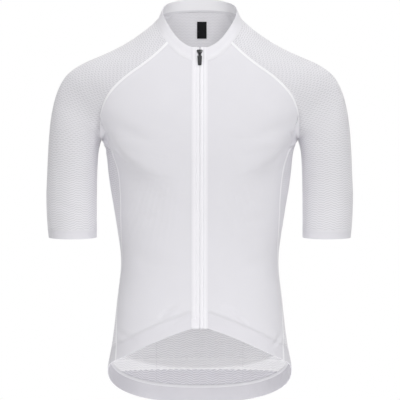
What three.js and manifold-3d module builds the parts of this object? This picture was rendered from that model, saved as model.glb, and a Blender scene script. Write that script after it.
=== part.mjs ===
// A short-sleeved cycling jersey with raglan sleeves, a low collar, a full-length front zip, an elastic
// hem that drops at the back, and rear pockets. It is hollow and filled out as if it were worn.
// Units are millimetres. +Z is up, the front faces -Y, and +X is the wearer's left side.
// The origin is between the shoulders, level with the point where the shoulder line meets the collar.

import * as THREE from "three";
import { mergeVertices } from "three/addons/utils/BufferGeometryUtils.js";
import Module from "manifold-3d";

// Cloth and seams.
const WALL = 1.2;
const SEAM_GAP = 0.3;
const ZIP_EDGE = 13.85; // half the width between the two front panels' zip edges
const HEM_BAND = 31; // height of the elastic hem band
const COLLAR_HEIGHT = { back: 22, front: 24.3 };

// The figure that the jersey is cut for: one row for each level, from the hem up.
// squareness 2 is an ellipse; a little more squares the section off.
const SQUARENESS = 2.4;
const TORSO = [
  { z: -730, halfWidth: 171.5, front: 104, back: 124 },
  { z: -640, halfWidth: 170.5, front: 102, back: 120 },
  { z: -590, halfWidth: 161.5, front: 99, back: 113 },
  { z: -510, halfWidth: 152.5, front: 97, back: 98 },
  { z: -437, halfWidth: 145.5, front: 98, back: 87 },
  { z: -363, halfWidth: 154.5, front: 106, back: 87 },
  { z: -290, halfWidth: 166.5, front: 115, back: 97 },
  { z: -240, halfWidth: 172.5, front: 117.5, back: 107 },
  { z: -213, halfWidth: 181, front: 116, back: 110 },
  { z: -187, halfWidth: 189, front: 112.5, back: 111 },
  { z: -160, halfWidth: 203, front: 106.5, back: 111 },
  { z: -122, halfWidth: 217, front: 95.5, back: 107 },
  { z: -95, halfWidth: 212, front: 87, back: 102 },
  { z: -68, halfWidth: 186, front: 77.5, back: 96.5 },
  { z: -38, halfWidth: 130, front: 66, back: 89 },
  { z: -13, halfWidth: 95, front: 57, back: 82 },
  { z: 4, halfWidth: 80, front: 52, back: 76 },
  { z: 16, halfWidth: 77.5, front: 49, back: 71 },
  { z: 30, halfWidth: 76, front: 46, back: 65.5 },
];

// Broad soft folds of the body cloth: a ridge has a positive depth and a trough a negative one.
// face is -1 at the front and 1 at the back, and turn is the angle of the fold from level, in degrees.
const BODY_FOLDS = [
  { face: -1, x: 118, z: -262, length: 62, width: 24, turn: -38, depth: -3.2 },
  { face: -1, x: -116, z: -268, length: 66, width: 24, turn: 38, depth: -3.4 },
  { face: -1, x: 92, z: -322, length: 60, width: 26, turn: -24, depth: -2.0 },
  { face: -1, x: -96, z: -330, length: 64, width: 26, turn: 26, depth: -2.2 },
  { face: -1, x: 70, z: -470, length: 52, width: 24, turn: 16, depth: -1.8 },
  { face: -1, x: -66, z: -478, length: 56, width: 24, turn: -14, depth: -1.8 },
  { face: 1, x: 96, z: -300, length: 70, width: 26, turn: -32, depth: -3.0 },
  { face: 1, x: -90, z: -308, length: 66, width: 26, turn: 34, depth: -3.0 },
  { face: 1, x: 62, z: -405, length: 74, width: 22, turn: 14, depth: -2.6 },
  { face: 1, x: -66, z: -412, length: 70, width: 22, turn: -12, depth: -2.6 },
];

// The side seam's place round the body at each level, in degrees from the centre front.
const SIDE_SEAM = [
  { z: -660, degrees: 61 },
  { z: -618, degrees: 65 },
  { z: -560, degrees: 74 },
  { z: -510, degrees: 80 },
  { z: -470, degrees: 81 },
  { z: -425, degrees: 77 },
  { z: -363, degrees: 71 },
  { z: -297, degrees: 68 },
  { z: -250, degrees: 73 },
  { z: -213, degrees: 90 },
];

// The raglan seams, from the armpit to the collar.
const FRONT_RAGLAN = [
  { x: 181, z: -213 },
  { x: 180, z: -187 },
  { x: 177, z: -161 },
  { x: 169, z: -140 },
  { x: 154, z: -120 },
  { x: 127, z: -96 },
  { x: 91, z: -70 },
  { x: 58, z: -38.4 },
];
const BACK_RAGLAN = [
  { x: 181, z: -213 },
  { x: 180, z: -184 },
  { x: 175, z: -156 },
  { x: 164, z: -128 },
  { x: 146, z: -98 },
  { x: 119, z: -66 },
  { x: 84, z: -24 },
  { x: 50, z: 25.5 },
];

// The ridge of the shoulder and the outer side of the arm, from the neck to the cuff's edge, with the
// rise of the cloth towards the back where it crosses the ridge.
const RIDGE = [
  { x: 78, y: -8, z: 3, rise: 0.45 },
  { x: 125.5, y: 4, z: -29.6, rise: 0.25 },
  { x: 167, y: 4, z: -51.8, rise: 0.1 },
  { x: 205, y: 3, z: -68, rise: 0 },
  { x: 237, y: 2, z: -85.5, rise: 0 },
  { x: 254, y: 1, z: -105, rise: 0 },
  { x: 265.5, y: 0, z: -131, rise: 0 },
  { x: 273, y: 0, z: -160, rise: 0 },
  { x: 277.5, y: 0, z: -190, rise: 0 },
];
// The tube of the sleeve, from the armpit to the cuff: its outer and inner side and its slant.
const ARM = [
  { outerX: 277.5, outerZ: -190, innerX: 181, innerZ: -213, y: 0, rise: 0 },
  { outerX: 279.8, outerZ: -226, innerX: 186.8, innerZ: -236, y: -2, rise: 0.02 },
  { outerX: 281.8, outerZ: -280, innerX: 189.2, innerZ: -281, y: -5, rise: 0.04 },
  { outerX: 283, outerZ: -330, innerX: 189.8, innerZ: -330, y: -8, rise: 0.06 },
  { outerX: 280, outerZ: -379, innerX: 189.6, innerZ: -379, y: -11, rise: 0.07 },
];
const CUFF = { outerX: 278.4, outerZ: -394, innerX: 189.6, innerZ: -394, y: -12, rise: 0.07 };
const SLEEVE_DEPTH = 1.1; // how much deeper than wide the sleeve is, front to back
const ARM_DEPTH = 53; // from the middle of the arm to its front, at the armpit
const ARMPIT_FOLD = 0.42; // share of the raglan seam over which the armpit's crease fades out

// Neckline, hem and pockets.
const COLLAR_LEAN = { x: 0.15, y: 0.075 }; // how far the collar leans in, as a share of its place
const NECK = { halfWidth: 78, side: 2 };
const FRONT_NECK = { drop: 75.2, power: 1.42 };
const BACK_NECK = { rise: 27.6, power: 0.6 };
const FRONT_HEM = { centre: -554.5, drop: 62.5, width: 151, power: 1.25 };
const BACK_HEM = { side: -640, drop: 0.58, rise: 0.44 }; // for each millimetre back or forward

// The rear pockets lie on the back panel's own rows and columns, counted from its left edge.
const POCKET = { bottomRow: 1, topRow: 6, slant: 0.8, wall: 1.2 };
const POCKETS = [
  { name: "pocket_left", fromColumn: 3, toColumn: 7, cutLeft: 1, cutRight: 0 },
  { name: "pocket_centre", fromColumn: 7, toColumn: 11, cutLeft: 0, cutRight: 0 },
  { name: "pocket_right", fromColumn: 11, toColumn: 15, cutLeft: 0, cutRight: 1 },
];
const LABEL = { x: 4, top: 10, width: 18, height: 31, wall: 0.8 };

// The zip. The slider stands at the top of the closed chain, and the tab lies on the zip below it.
const ZIP = { chainHalf: 1.65, top: -61, proud: 0.1, recess: 0.25 };
const SLIDER = { z: -58.7, topHalf: 5.6, waistHalf: 3.1, height: 11.6, corner: 2.4, wall: 1.6 };
const POST_WIDTH = 3; // between the slider's two plates
const BRIDGE = { half: 0.8, inside: 1.5, foot: 1.2, clear: 2.8 }; // the arch that holds the tab
const EYE = { half: 1.3, start: 0.7, end: 4.1 }; // the hole in the tab that the bridge goes through
const PULL = { neckHalf: 2.6, neckEnd: 5.8, topHalf: 4.2, top: 7, endHalf: 3.3, end: 24, corner: 2 };
const PULL_WALL = 1.6;
const PULL_LEAN = 2.5; // degrees in from the slider's plane, with the tab on the slider's lower edge

// How finely each stretch of cloth is divided.
const COLUMNS = 9;
const SIDE_ROWS = 13;
const RAGLAN_ROWS = 9;
const RAGLAN_SPREAD = 1.3; // over 1 brings the rows together at the armpit
const SLEEVE_COLUMNS = 9; // in each half of a sleeve
const ARM_ROWS = 6;
const BAND_ROWS = 2;
const ARMPIT_LEVEL = -216; // where the row of cloth that meets the armpit reaches the centre line

const MATERIALS = {
  body: new THREE.MeshStandardMaterial({ color: 0xe4e3e8, roughness: 0.7 }),
  mesh: new THREE.MeshStandardMaterial({ color: 0xdcdbe0, roughness: 0.8 }),
  band: new THREE.MeshStandardMaterial({ color: 0xe8e7ec, roughness: 0.6 }),
  zip: new THREE.MeshStandardMaterial({ color: 0xefeef3, roughness: 0.5 }),
  metal: new THREE.MeshStandardMaterial({ color: 0x17171a, roughness: 0.4, metalness: 0.3 }),
  rubber: new THREE.MeshStandardMaterial({ color: 0x2a2a2d, roughness: 0.6 }),
  label: new THREE.MeshStandardMaterial({ color: 0x0c0c0e, roughness: 0.6 }),
};

const V = (x, y, z) => new THREE.Vector3(x, y, z);
const radians = THREE.MathUtils.degToRad;
const clamp01 = (t) => Math.min(1, Math.max(0, t));
const ease = (t) => clamp01(t) ** 2 * (3 - 2 * clamp01(t));
const steps = (n) => Array.from({ length: n + 1 }, (_, i) => i / n);
const raglanSteps = steps(RAGLAN_ROWS).map((t) => t ** RAGLAN_SPREAD);
const mirrored = (p) => V(-p.x, p.y, p.z);
const lastOf = (list) => list[list.length - 1];

// A smooth curve through the rows of a table: the value in one column for any value in another.
function smooth(rows, key, value) {
  const at = rows.map((r) => r[key]);
  const to = rows.map((r) => r[value]);
  const last = rows.length - 1;
  const slopes = at.map((_, i) => {
    const [a, b] = [Math.max(i - 1, 0), Math.min(i + 1, last)];
    return (to[b] - to[a]) / (at[b] - at[a]);
  });
  return (x) => {
    let i = 0;
    while (i < last - 1 && x > at[i + 1]) i++;
    const gap = at[i + 1] - at[i];
    const t = clamp01((x - at[i]) / gap);
    return (
      to[i] * (1 + 2 * t) * (1 - t) ** 2 +
      slopes[i] * gap * t * (1 - t) ** 2 +
      to[i + 1] * t ** 2 * (3 - 2 * t) -
      slopes[i + 1] * gap * t ** 2 * (1 - t)
    );
  };
}

// The same for a table of points: every column as a function of the share of the length passed.
function alongTable(rows, keys, [a, b]) {
  let length = 0;
  const far = rows.map((r, i) => {
    if (i) length += Math.hypot(r[a] - rows[i - 1][a], r[b] - rows[i - 1][b]);
    return length;
  });
  const shared = rows.map((r, i) => ({ ...r, share: far[i] / length }));
  const curves = keys.map((k) => [k, smooth(shared, "share", k)]);
  return (t) => Object.fromEntries(curves.map(([k, f]) => [k, f(t)]));
}

const halfWidthAt = smooth(TORSO, "z", "halfWidth");
const frontAt = smooth(TORSO, "z", "front");
const backAt = smooth(TORSO, "z", "back");
const sideSeamAt = smooth(SIDE_SEAM, "z", "degrees");

// How far the soft folds lift the body cloth at a place on its front or back.
function foldLift(face, x, z) {
  let lift = 0;
  for (const f of BODY_FOLDS) {
    if (f.face !== face) continue;
    const [c, s] = [Math.cos(radians(f.turn)), Math.sin(radians(f.turn))];
    const along = ((x - f.x) * c + (z - f.z) * s) / f.length;
    const across = (-(x - f.x) * s + (z - f.z) * c) / f.width;
    lift += f.depth * Math.exp(-along * along - across * across);
  }
  return lift;
}

// A point of the body's form. The angle runs from 0 at the centre front through 90 at the side to 180
// at the centre back, in degrees.
function bodyPoint(angle, z) {
  const power = 2 / SQUARENESS;
  const across = Math.sin(radians(angle));
  const ahead = Math.cos(radians(angle));
  const face = ahead > 0 ? -1 : 1;
  const depth = face < 0 ? frontAt(z) : backAt(z);
  const x = halfWidthAt(z) * Math.abs(across) ** power * Math.sign(across);
  const flat = Math.abs(ahead) ** power;
  return V(x, face * flat * (depth + foldLift(face, x, z)), z);
}

// The angle at which the form has a given distance from the middle plane.
function angleAt(x, z, face) {
  const share = Math.min(1, Math.abs(x) / halfWidthAt(z));
  const angle = THREE.MathUtils.radToDeg(Math.asin(share ** (SQUARENESS / 2)));
  return (face < 0 ? angle : 180 - angle) * (Math.sign(x) || 1);
}

function bodyNormal(angle, z) {
  const round = bodyPoint(angle + 0.6, z).sub(bodyPoint(angle - 0.6, z));
  const up = bodyPoint(angle, z + 1).sub(bodyPoint(angle, z - 1));
  return round.cross(up).normalize();
}

// The neckline's height at a distance from the middle plane.
function neckHeight(x, face) {
  const cosine = Math.sqrt(Math.max(0, 1 - (x / NECK.halfWidth) ** 2));
  return face < 0
    ? NECK.side - FRONT_NECK.drop * cosine ** FRONT_NECK.power
    : NECK.side + BACK_NECK.rise * cosine ** BACK_NECK.power;
}

// The hem's height at an angle round the body: a shallow peak at the front, and a drop at the back.
function hemHeight(angle, face) {
  let z = BACK_HEM.side;
  for (let i = 0; i < 8; i++) {
    const p = bodyPoint(angle, z);
    z =
      face < 0
        ? FRONT_HEM.centre - FRONT_HEM.drop * (Math.abs(p.x) / FRONT_HEM.width) ** FRONT_HEM.power
        : BACK_HEM.side - p.y * (p.y > 0 ? BACK_HEM.drop : BACK_HEM.rise);
  }
  return z;
}

// Where the side seam meets a level that itself depends on the angle.
function sideAngle(heightOf) {
  let angle = 68;
  for (let i = 0; i < 8; i++) angle = sideSeamAt(heightOf(angle));
  return angle;
}

// One half of the body cloth on one face, from the centre line to the side and raglan seams, as rows of
// { angle, z }. Every row runs outwards, and the rows climb from the hem band to the neckline.
function bodyHalf(face) {
  const raglan = alongTable(face < 0 ? FRONT_RAGLAN : BACK_RAGLAN, ["x", "z"], ["x", "z"]);
  const bandTop = (angle) => hemHeight(angle, face) + HEM_BAND;
  const centreAngle = (z) => (face < 0 ? angleAt(ZIP_EDGE, z, face) : 180);
  const low = { centre: bandTop(centreAngle(FRONT_HEM.centre)), side: sideAngle(bandTop) };
  const lowSide = bandTop(low.side);
  const neckX = raglan(1).x;
  const neckStart = face < 0 ? ZIP_EDGE : 0;
  const highCentre = neckHeight(neckStart, face);
  const outer = [
    ...steps(SIDE_ROWS).map((t) => {
      const z = THREE.MathUtils.lerp(lowSide, FRONT_RAGLAN[0].z, t);
      return { angle: sideSeamAt(z), z };
    }),
    ...raglanSteps.slice(1).map((t) => {
      const { x, z } = raglan(t);
      return { angle: angleAt(x, z, face), z };
    }),
  ];
  const inner = [
    ...steps(SIDE_ROWS).map((t) => THREE.MathUtils.lerp(low.centre, ARMPIT_LEVEL, t)),
    ...raglanSteps.slice(1).map((t) => THREE.MathUtils.lerp(ARMPIT_LEVEL, highCentre, t)),
  ].map((z) => ({ angle: centreAngle(z), z }));
  const across = steps(COLUMNS);
  const bottom = across.map((s) => {
    const angle = THREE.MathUtils.lerp(inner[0].angle, low.side, s);
    return { angle, z: bandTop(angle) };
  });
  const top = across.map((s) => {
    const x = THREE.MathUtils.lerp(neckStart, neckX, s);
    const z = neckHeight(x, face);
    return { angle: x ? angleAt(x, z, face) : 180, z };
  });
  // A transfinite patch: the four edges are exact, and the inside blends them.
  const last = outer.length - 1;
  return outer.map((out, i) => {
    const t = i / last;
    return across.map((s, j) => {
      const value = (k) =>
        (1 - s) * inner[i][k] + s * out[k] + (1 - t) * bottom[j][k] + t * top[j][k] -
        ((1 - s) * (1 - t) * bottom[0][k] + s * (1 - t) * bottom[COLUMNS][k] +
          (1 - s) * t * top[0][k] + s * t * top[COLUMNS][k]);
      return { angle: value("angle"), z: value("z") };
    });
  });
}

const onBody = (rows) => rows.map((row) => row.map(({ angle, z }) => bodyPoint(angle, z)));
const bodyNormals = (rows) => rows.map((row) => row.map(({ angle, z }) => bodyNormal(angle, z)));

// The unit vectors square to a grid's faces, away from the form.
function gridNormals(grid, isClosed = () => false) {
  const last = grid[0].length - 1;
  return grid.map((row, i) =>
    row.map((_, j) => {
      const wrap = isClosed(i) && (j === 0 || j === last);
      const round = wrap
        ? row[1].clone().sub(row[last - 1])
        : row[Math.min(j + 1, last)].clone().sub(row[Math.max(j - 1, 0)]);
      const up = grid[Math.min(i + 1, grid.length - 1)][j].clone().sub(grid[Math.max(i - 1, 0)][j]);
      return round.cross(up).normalize();
    }),
  );
}

// Moves a grid's edges inwards by half a seam gap, square to each edge.
function insetEdges(grid, edges) {
  const rows = grid.length - 1;
  const columns = grid[0].length - 1;
  const moves = { bottom: [0, 1], top: [0, -1], left: [1, 0], right: [-1, 0] };
  const touches = (edge, i, j) =>
    (edge === "bottom" && i === 0) || (edge === "top" && i === rows) ||
    (edge === "left" && j === 0) || (edge === "right" && j === columns);
  return grid.map((row, i) =>
    row.map((p, j) => {
      const moved = p.clone();
      for (const edge of edges) {
        if (!touches(edge, i, j)) continue;
        const [dj, di] = moves[edge];
        const inwards = grid[i + di][j + dj].clone().sub(p);
        const alongEdge = di
          ? row[Math.min(j + 1, columns)].clone().sub(row[Math.max(j - 1, 0)])
          : grid[Math.min(i + 1, rows)][j].clone().sub(grid[Math.max(i - 1, 0)][j]);
        alongEdge.normalize();
        inwards.addScaledVector(alongEdge, -inwards.dot(alongEdge)).normalize();
        moved.addScaledVector(inwards, SEAM_GAP / 2);
      }
      return moved;
    }),
  );
}

// A closed wall of cloth between a grid's own points and the same points moved by `from` and `to`
// along their normals. Rows for which isClosed holds are rings, whose last column is their first.
function clothWall(grid, normals, from, to, isClosed = () => false) {
  const columns = grid[0].length - 1;
  const positions = [];
  const layer = (offset) =>
    grid.map((row, i) =>
      row.map((p, j) => {
        if (isClosed(i) && j === columns) return null;
        positions.push(...p.clone().addScaledVector(normals[i][j], offset).toArray());
        return positions.length / 3 - 1;
      }),
    ).map((row) => row.map((k, j) => (k === null ? row[0] : k)));
  const outer = layer(to);
  const inner = layer(from);
  const faces = [];
  const quad = (a, b, c, d) => faces.push(a, b, c, a, c, d);
  const last = grid.length - 1;
  for (let i = 0; i < last; i++) {
    for (let j = 0; j < columns; j++) {
      const corners = [[i, j], [i, j + 1], [i + 1, j + 1], [i + 1, j]];
      const [a, b, c, d] = corners.map(([row, column]) => grid[row][column]);
      // Both layers are split along the quad's shorter diagonal.
      if (a.distanceTo(c) > b.distanceTo(d)) corners.push(corners.shift());
      const outside = corners.map(([row, column]) => outer[row][column]);
      const [first, ...others] = corners.map(([row, column]) => inner[row][column]);
      quad(...outside);
      quad(first, ...others.reverse());
    }
    if (isClosed(i) && isClosed(i + 1)) continue;
    quad(outer[i][0], outer[i + 1][0], inner[i + 1][0], inner[i][0]);
    quad(outer[i + 1][columns], outer[i][columns], inner[i][columns], inner[i + 1][columns]);
  }
  for (let j = 0; j < columns; j++) {
    quad(outer[0][j + 1], outer[0][j], inner[0][j], inner[0][j + 1]);
    quad(outer[last][j], outer[last][j + 1], inner[last][j + 1], inner[last][j]);
  }
  return new THREE.BufferGeometry()
    .setAttribute("position", new THREE.Float32BufferAttribute(positions, 3))
    .setIndex(faces);
}

// The same body on the other side of the middle plane, with its faces turned to point outwards again.
function otherSide(geometry) {
  const turned = geometry.clone().scale(-1, 1, 1);
  const index = turned.getIndex();
  for (let i = 0; i < index.count; i += 3) {
    const second = index.getX(i + 1);
    index.setX(i + 1, index.getX(i + 2));
    index.setX(i + 2, second);
  }
  return turned;
}

const jersey = new THREE.Group();
function addPiece(name, geometry, material) {
  const mesh = new THREE.Mesh(geometry, material);
  mesh.name = name;
  jersey.add(mesh);
  return mesh;
}

// Adds a piece on the wearer's left, and its mirror image on the right.
function addPair(name, grid, normals, material, isClosed) {
  const geometry = clothWall(grid, normals, -WALL, 0, isClosed);
  addPiece(name + "_left", geometry, material);
  addPiece(name + "_right", otherSide(geometry), material);
}

// Front and back panels.
const frontHalf = bodyHalf(-1);
const backHalf = bodyHalf(1);
const frontGrid = onBody(frontHalf);
addPair("front", insetEdges(frontGrid, ["bottom", "right", "top"]), bodyNormals(frontHalf), MATERIALS.body);

// The back's rows run on from the wearer's left side seam to the right one.
const wholeBack = (half) => half.map((row) => {
  const leftSide = [...row].reverse();
  return [...leftSide, ...row.slice(1).map(({ angle, z }) => ({ angle: -angle, z }))];
});
const backHalfGrid = onBody(backHalf);
const backRows = wholeBack(backHalf);
const backGrid = onBody(backRows);
const backNormals = bodyNormals(backRows);
const back = addPiece(
  "back",
  clothWall(insetEdges(backGrid, ["bottom", "left", "right", "top"]), backNormals, -WALL, 0),
  MATERIALS.body,
);

// The hem band below each panel, as rows of { angle, z } under the panel's lowest row.
function hemHalf(face, panelRow) {
  const low = (angle) => hemHeight(angle, face);
  const side = sideAngle(low);
  return steps(BAND_ROWS).map((t) =>
    panelRow.map((top, j) => {
      const angle = THREE.MathUtils.lerp(panelRow[0].angle, side, j / COLUMNS);
      return {
        angle: THREE.MathUtils.lerp(angle, top.angle, t),
        z: THREE.MathUtils.lerp(low(angle), top.z, t),
      };
    }),
  );
}
const frontHem = hemHalf(-1, frontHalf[0]);
const frontHemGrid = onBody(frontHem);
addPair("hem_front", insetEdges(frontHemGrid, ["right", "top"]), bodyNormals(frontHem), MATERIALS.band);
const backHem = wholeBack(hemHalf(1, backHalf[0]));
addPiece(
  "hem_back",
  clothWall(insetEdges(onBody(backHem), ["left", "right", "top"]), bodyNormals(backHem), -WALL, 0),
  MATERIALS.band,
);

// The sleeve.
const ridge = alongTable([...RIDGE].reverse(), ["x", "y", "z", "rise"], ["x", "z"]);
const ringKeys = ["outerX", "outerZ", "innerX", "innerZ", "y", "rise"];
const arm = alongTable(ARM, ringKeys, ["outerX", "outerZ"]);

// Half of a sleeve's row: a smooth arc from a seam to the ridge. The two headings are unit vectors.
function halfArc(start, startHeading, end, endHeading, fullness = 1) {
  const turn = startHeading.angleTo(endHeading);
  const chord = start.distanceTo(end);
  const reach = turn < 0.01 ? chord / 3 : (2 / 3) * chord * Math.tan(turn / 4) / Math.sin(turn / 2);
  const curve = new THREE.CubicBezierCurve3(
    start,
    start.clone().addScaledVector(startHeading, reach * fullness),
    end.clone().addScaledVector(endHeading, -reach * fullness),
    end,
  );
  return steps(SLEEVE_COLUMNS).map((t) => curve.getPoint(t));
}

// A closed ring round the arm.
function armRing({ outerX, outerZ, innerX, innerZ, y, rise }) {
  const outer = V(outerX, y, outerZ);
  const inner = V(innerX, y, innerZ);
  const heading = V(0, 1, rise).normalize();
  const away = heading.clone().negate();
  const front = halfArc(inner, away, outer, heading, SLEEVE_DEPTH);
  const rear = halfArc(inner, heading, outer, away, SLEEVE_DEPTH);
  return [...front, ...rear.reverse().slice(1)];
}

// Where the cloth of a sleeve leaves a raglan seam, and its heading there. Near the armpit it carries on
// round the arm's own ring, so that the seam is a crease, and above it runs smoothly on from the body.
function sleeveEdge(grid, k) {
  const seam = grid[SIDE_ROWS + k][COLUMNS];
  const outwards = seam.clone().sub(grid[SIDE_ROWS + k][COLUMNS - 1]).normalize();
  const round = Math.asin(clamp01(Math.abs(seam.y) / ARM_DEPTH));
  const heading = V(Math.sin(round), Math.sign(seam.y) * Math.cos(round), 0);
  heading.lerp(outwards, ease(raglanSteps[k] / ARMPIT_FOLD)).normalize();
  const between = outwards.clone().add(heading).normalize();
  const gap = (SEAM_GAP / 2) * (1 + outwards.angleTo(heading) / Math.PI);
  return { point: seam.clone().addScaledVector(between, gap), heading };
}

function sleeveRow(k) {
  const { x, y, z, rise } = ridge(raglanSteps[k]);
  const top = V(x, y, z);
  const heading = V(0, 1, rise).normalize();
  const front = sleeveEdge(frontGrid, k);
  const rear = sleeveEdge(backHalfGrid, k);
  const fullness = THREE.MathUtils.lerp(SLEEVE_DEPTH, 1, ease(raglanSteps[k] / ARMPIT_FOLD));
  return [
    ...halfArc(front.point, front.heading, top, heading, fullness),
    ...halfArc(rear.point, rear.heading, top, heading.clone().negate(), fullness).reverse().slice(1),
  ];
}

const armpitRow = { ...ARM[0], innerX: ARM[0].innerX + SEAM_GAP };
const sleeveGrid = [
  ...steps(ARM_ROWS).slice(0, -1).map((t) => armRing(arm(1 - t))),
  armRing(armpitRow),
  ...raglanSteps.slice(1).map((_, k) => sleeveRow(k + 1)),
];
const armClosed = (i) => i <= ARM_ROWS;
const sleeveNormals = gridNormals(sleeveGrid, armClosed);
addPair("sleeve", insetEdges(sleeveGrid, ["bottom", "top"]), sleeveNormals, MATERIALS.mesh, armClosed);

// The cuff is a narrow band that runs on from the sleeve.
const cuff = alongTable([CUFF, lastOf(ARM)], ringKeys, ["outerX", "outerZ"]);
const cuffGrid = steps(BAND_ROWS).map((t) => armRing(cuff(t)));
const always = () => true;
addPair("cuff", insetEdges(cuffGrid, ["top"]), gridNormals(cuffGrid, always), MATERIALS.band, always);

// The collar stands on the neckline, from one side of the zip round the back to the other.
const leftNeck = [
  ...lastOf(frontGrid),
  ...lastOf(sleeveGrid).slice(1, -1),
  ...[...lastOf(backHalfGrid)].reverse(),
];
const neckLoop = [...leftNeck, ...leftNeck.slice(0, -1).reverse().map(mirrored)];
const collarGrid = steps(3).map((t) =>
  neckLoop.map((p) => {
    const aside = Math.sign(p.x) * (Math.abs(p.x) - ZIP_EDGE);
    const height = THREE.MathUtils.lerp(COLLAR_HEIGHT.back, COLLAR_HEIGHT.front, clamp01(-p.y / 50));
    const up = V(-aside * COLLAR_LEAN.x, -p.y * COLLAR_LEAN.y, height).normalize();
    return p.clone().addScaledVector(up, t * height);
  }),
);
const collarWall = clothWall(insetEdges(collarGrid, ["bottom"]), gridNormals(collarGrid), -WALL, 0);
addPiece("collar", collarWall, MATERIALS.band);

// The rear pockets lie on the back, made from its points moved out.
const countFrom = (first, last) => Array.from({ length: last - first + 1 }, (_, i) => first + i);
for (const { name, fromColumn, toColumn, cutLeft, cutRight } of POCKETS) {
  const columns = countFrom(fromColumn, toColumn);
  const rows = countFrom(POCKET.bottomRow, POCKET.topRow);
  // The opening at the top slopes down towards a side that is cut.
  const onPocket = (values) =>
    rows.map((row) =>
      columns.map((column) => {
        if (row < POCKET.topRow) return values[row][column];
        const across = (column - fromColumn) / (toColumn - fromColumn);
        const slant = POCKET.slant * THREE.MathUtils.lerp(cutLeft, cutRight, across);
        return values[row][column].clone().lerp(values[row - 1][column], slant);
      }),
    );
  const grid = insetEdges(onPocket(backGrid), ["left", "right"]);
  addPiece(name, clothWall(grid, onPocket(backNormals), SEAM_GAP, SEAM_GAP + POCKET.wall), MATERIALS.body);
}

// The zip fills the space between the two front edges, from the hem to the top of the collar.
const zipEdge = [
  ...frontHemGrid.slice(0, -1).map((row) => row[0]),
  ...frontGrid.map((row) => row[0]),
  ...collarGrid.slice(1).map((row) => row[0]),
];
const zipStrip = (edge, xs, proud) => edge.map((p) => xs.map((x) => V(x, p.y - proud, p.z)));
const tapeEdges = [ZIP.chainHalf + SEAM_GAP, ZIP_EDGE - SEAM_GAP];
const tape = zipStrip(zipEdge, tapeEdges, ZIP.proud);
addPair("zip_tape", tape, gridNormals(tape), MATERIALS.zip);
const chainEdge = zipEdge.filter((p) => p.z < ZIP.top);
const chain = zipStrip(chainEdge, [-ZIP.chainHalf, 0, ZIP.chainHalf], -ZIP.recess);
addPiece("zip_chain", clothWall(chain, gridNormals(chain), -WALL, 0), MATERIALS.zip);

// The slider and its pull tab, in a frame that stands on the zip's face at the collar.
const wasm = await Module();
wasm.setup();
function toSolid(geometry) {
  const bare = geometry.clone();
  bare.deleteAttribute("normal");
  bare.deleteAttribute("uv");
  const merged = mergeVertices(bare);
  const vertProperties = new Float32Array(merged.attributes.position.array);
  const triVerts = new Uint32Array(merged.index.array);
  return new wasm.Manifold(new wasm.Mesh({ numProp: 3, vertProperties, triVerts }));
}
function fromSolid(solid) {
  const { vertProperties, triVerts } = solid.getMesh();
  return new THREE.BufferGeometry()
    .setAttribute("position", new THREE.Float32BufferAttribute(vertProperties, 3))
    .setIndex([...triVerts]);
}

// An upright plate of a given outline, whose front face is `front` ahead of the frame's own plane.
function uprightPlate(shape, wall, front) {
  const plate = new THREE.ExtrudeGeometry(shape, { depth: wall, bevelEnabled: false, curveSegments: 3 });
  return plate.rotateX(Math.PI / 2).translate(0, wall - front, 0);
}
const block = (y, z, width, depth, height) =>
  toSolid(new THREE.BoxGeometry(width, depth, height).translate(0, y, z));

function sliderShape() {
  const { topHalf, waistHalf, height, corner } = SLIDER;
  const top = height / 2;
  const shape = new THREE.Shape();
  shape.moveTo(-waistHalf, -top);
  shape.lineTo(waistHalf, -top);
  shape.quadraticCurveTo(waistHalf, -corner / 2, topHalf, top - corner);
  shape.quadraticCurveTo(topHalf, top, topHalf - corner, top);
  shape.lineTo(corner - topHalf, top);
  shape.quadraticCurveTo(-topHalf, top, -topHalf, top - corner);
  shape.quadraticCurveTo(-waistHalf, -corner / 2, -waistHalf, -top);
  return shape;
}

const frontOfPlate = SEAM_GAP + SLIDER.wall;
const pinAhead = frontOfPlate + BRIDGE.clear / 2;
function sliderBody() {
  const backOfTape = WALL + ZIP.recess + ZIP.proud + SEAM_GAP;
  const frontPlate = toSolid(uprightPlate(sliderShape(), SLIDER.wall, frontOfPlate));
  const rearPlate = toSolid(uprightPlate(sliderShape(), SLIDER.wall, -backOfTape));
  const post = block((backOfTape - frontOfPlate) / 2, 0, POST_WIDTH, frontOfPlate + backOfTape, POST_WIDTH);
  const footDepth = BRIDGE.clear + BRIDGE.foot + SLIDER.wall / 2;
  const footY = SLIDER.wall / 2 - frontOfPlate - footDepth / 2;
  const footZ = BRIDGE.inside + BRIDGE.foot / 2;
  const archY = -frontOfPlate - BRIDGE.clear - BRIDGE.foot / 2;
  const pieces = [
    rearPlate,
    post,
    block(footY, footZ, 2 * BRIDGE.half, footDepth, BRIDGE.foot),
    block(footY, -footZ, 2 * BRIDGE.half, footDepth, BRIDGE.foot),
    block(archY, 0, 2 * BRIDGE.half, BRIDGE.foot, 2 * (BRIDGE.inside + BRIDGE.foot)),
  ];
  return fromSolid(pieces.reduce((whole, piece) => whole.add(piece), frontPlate));
}

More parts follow.
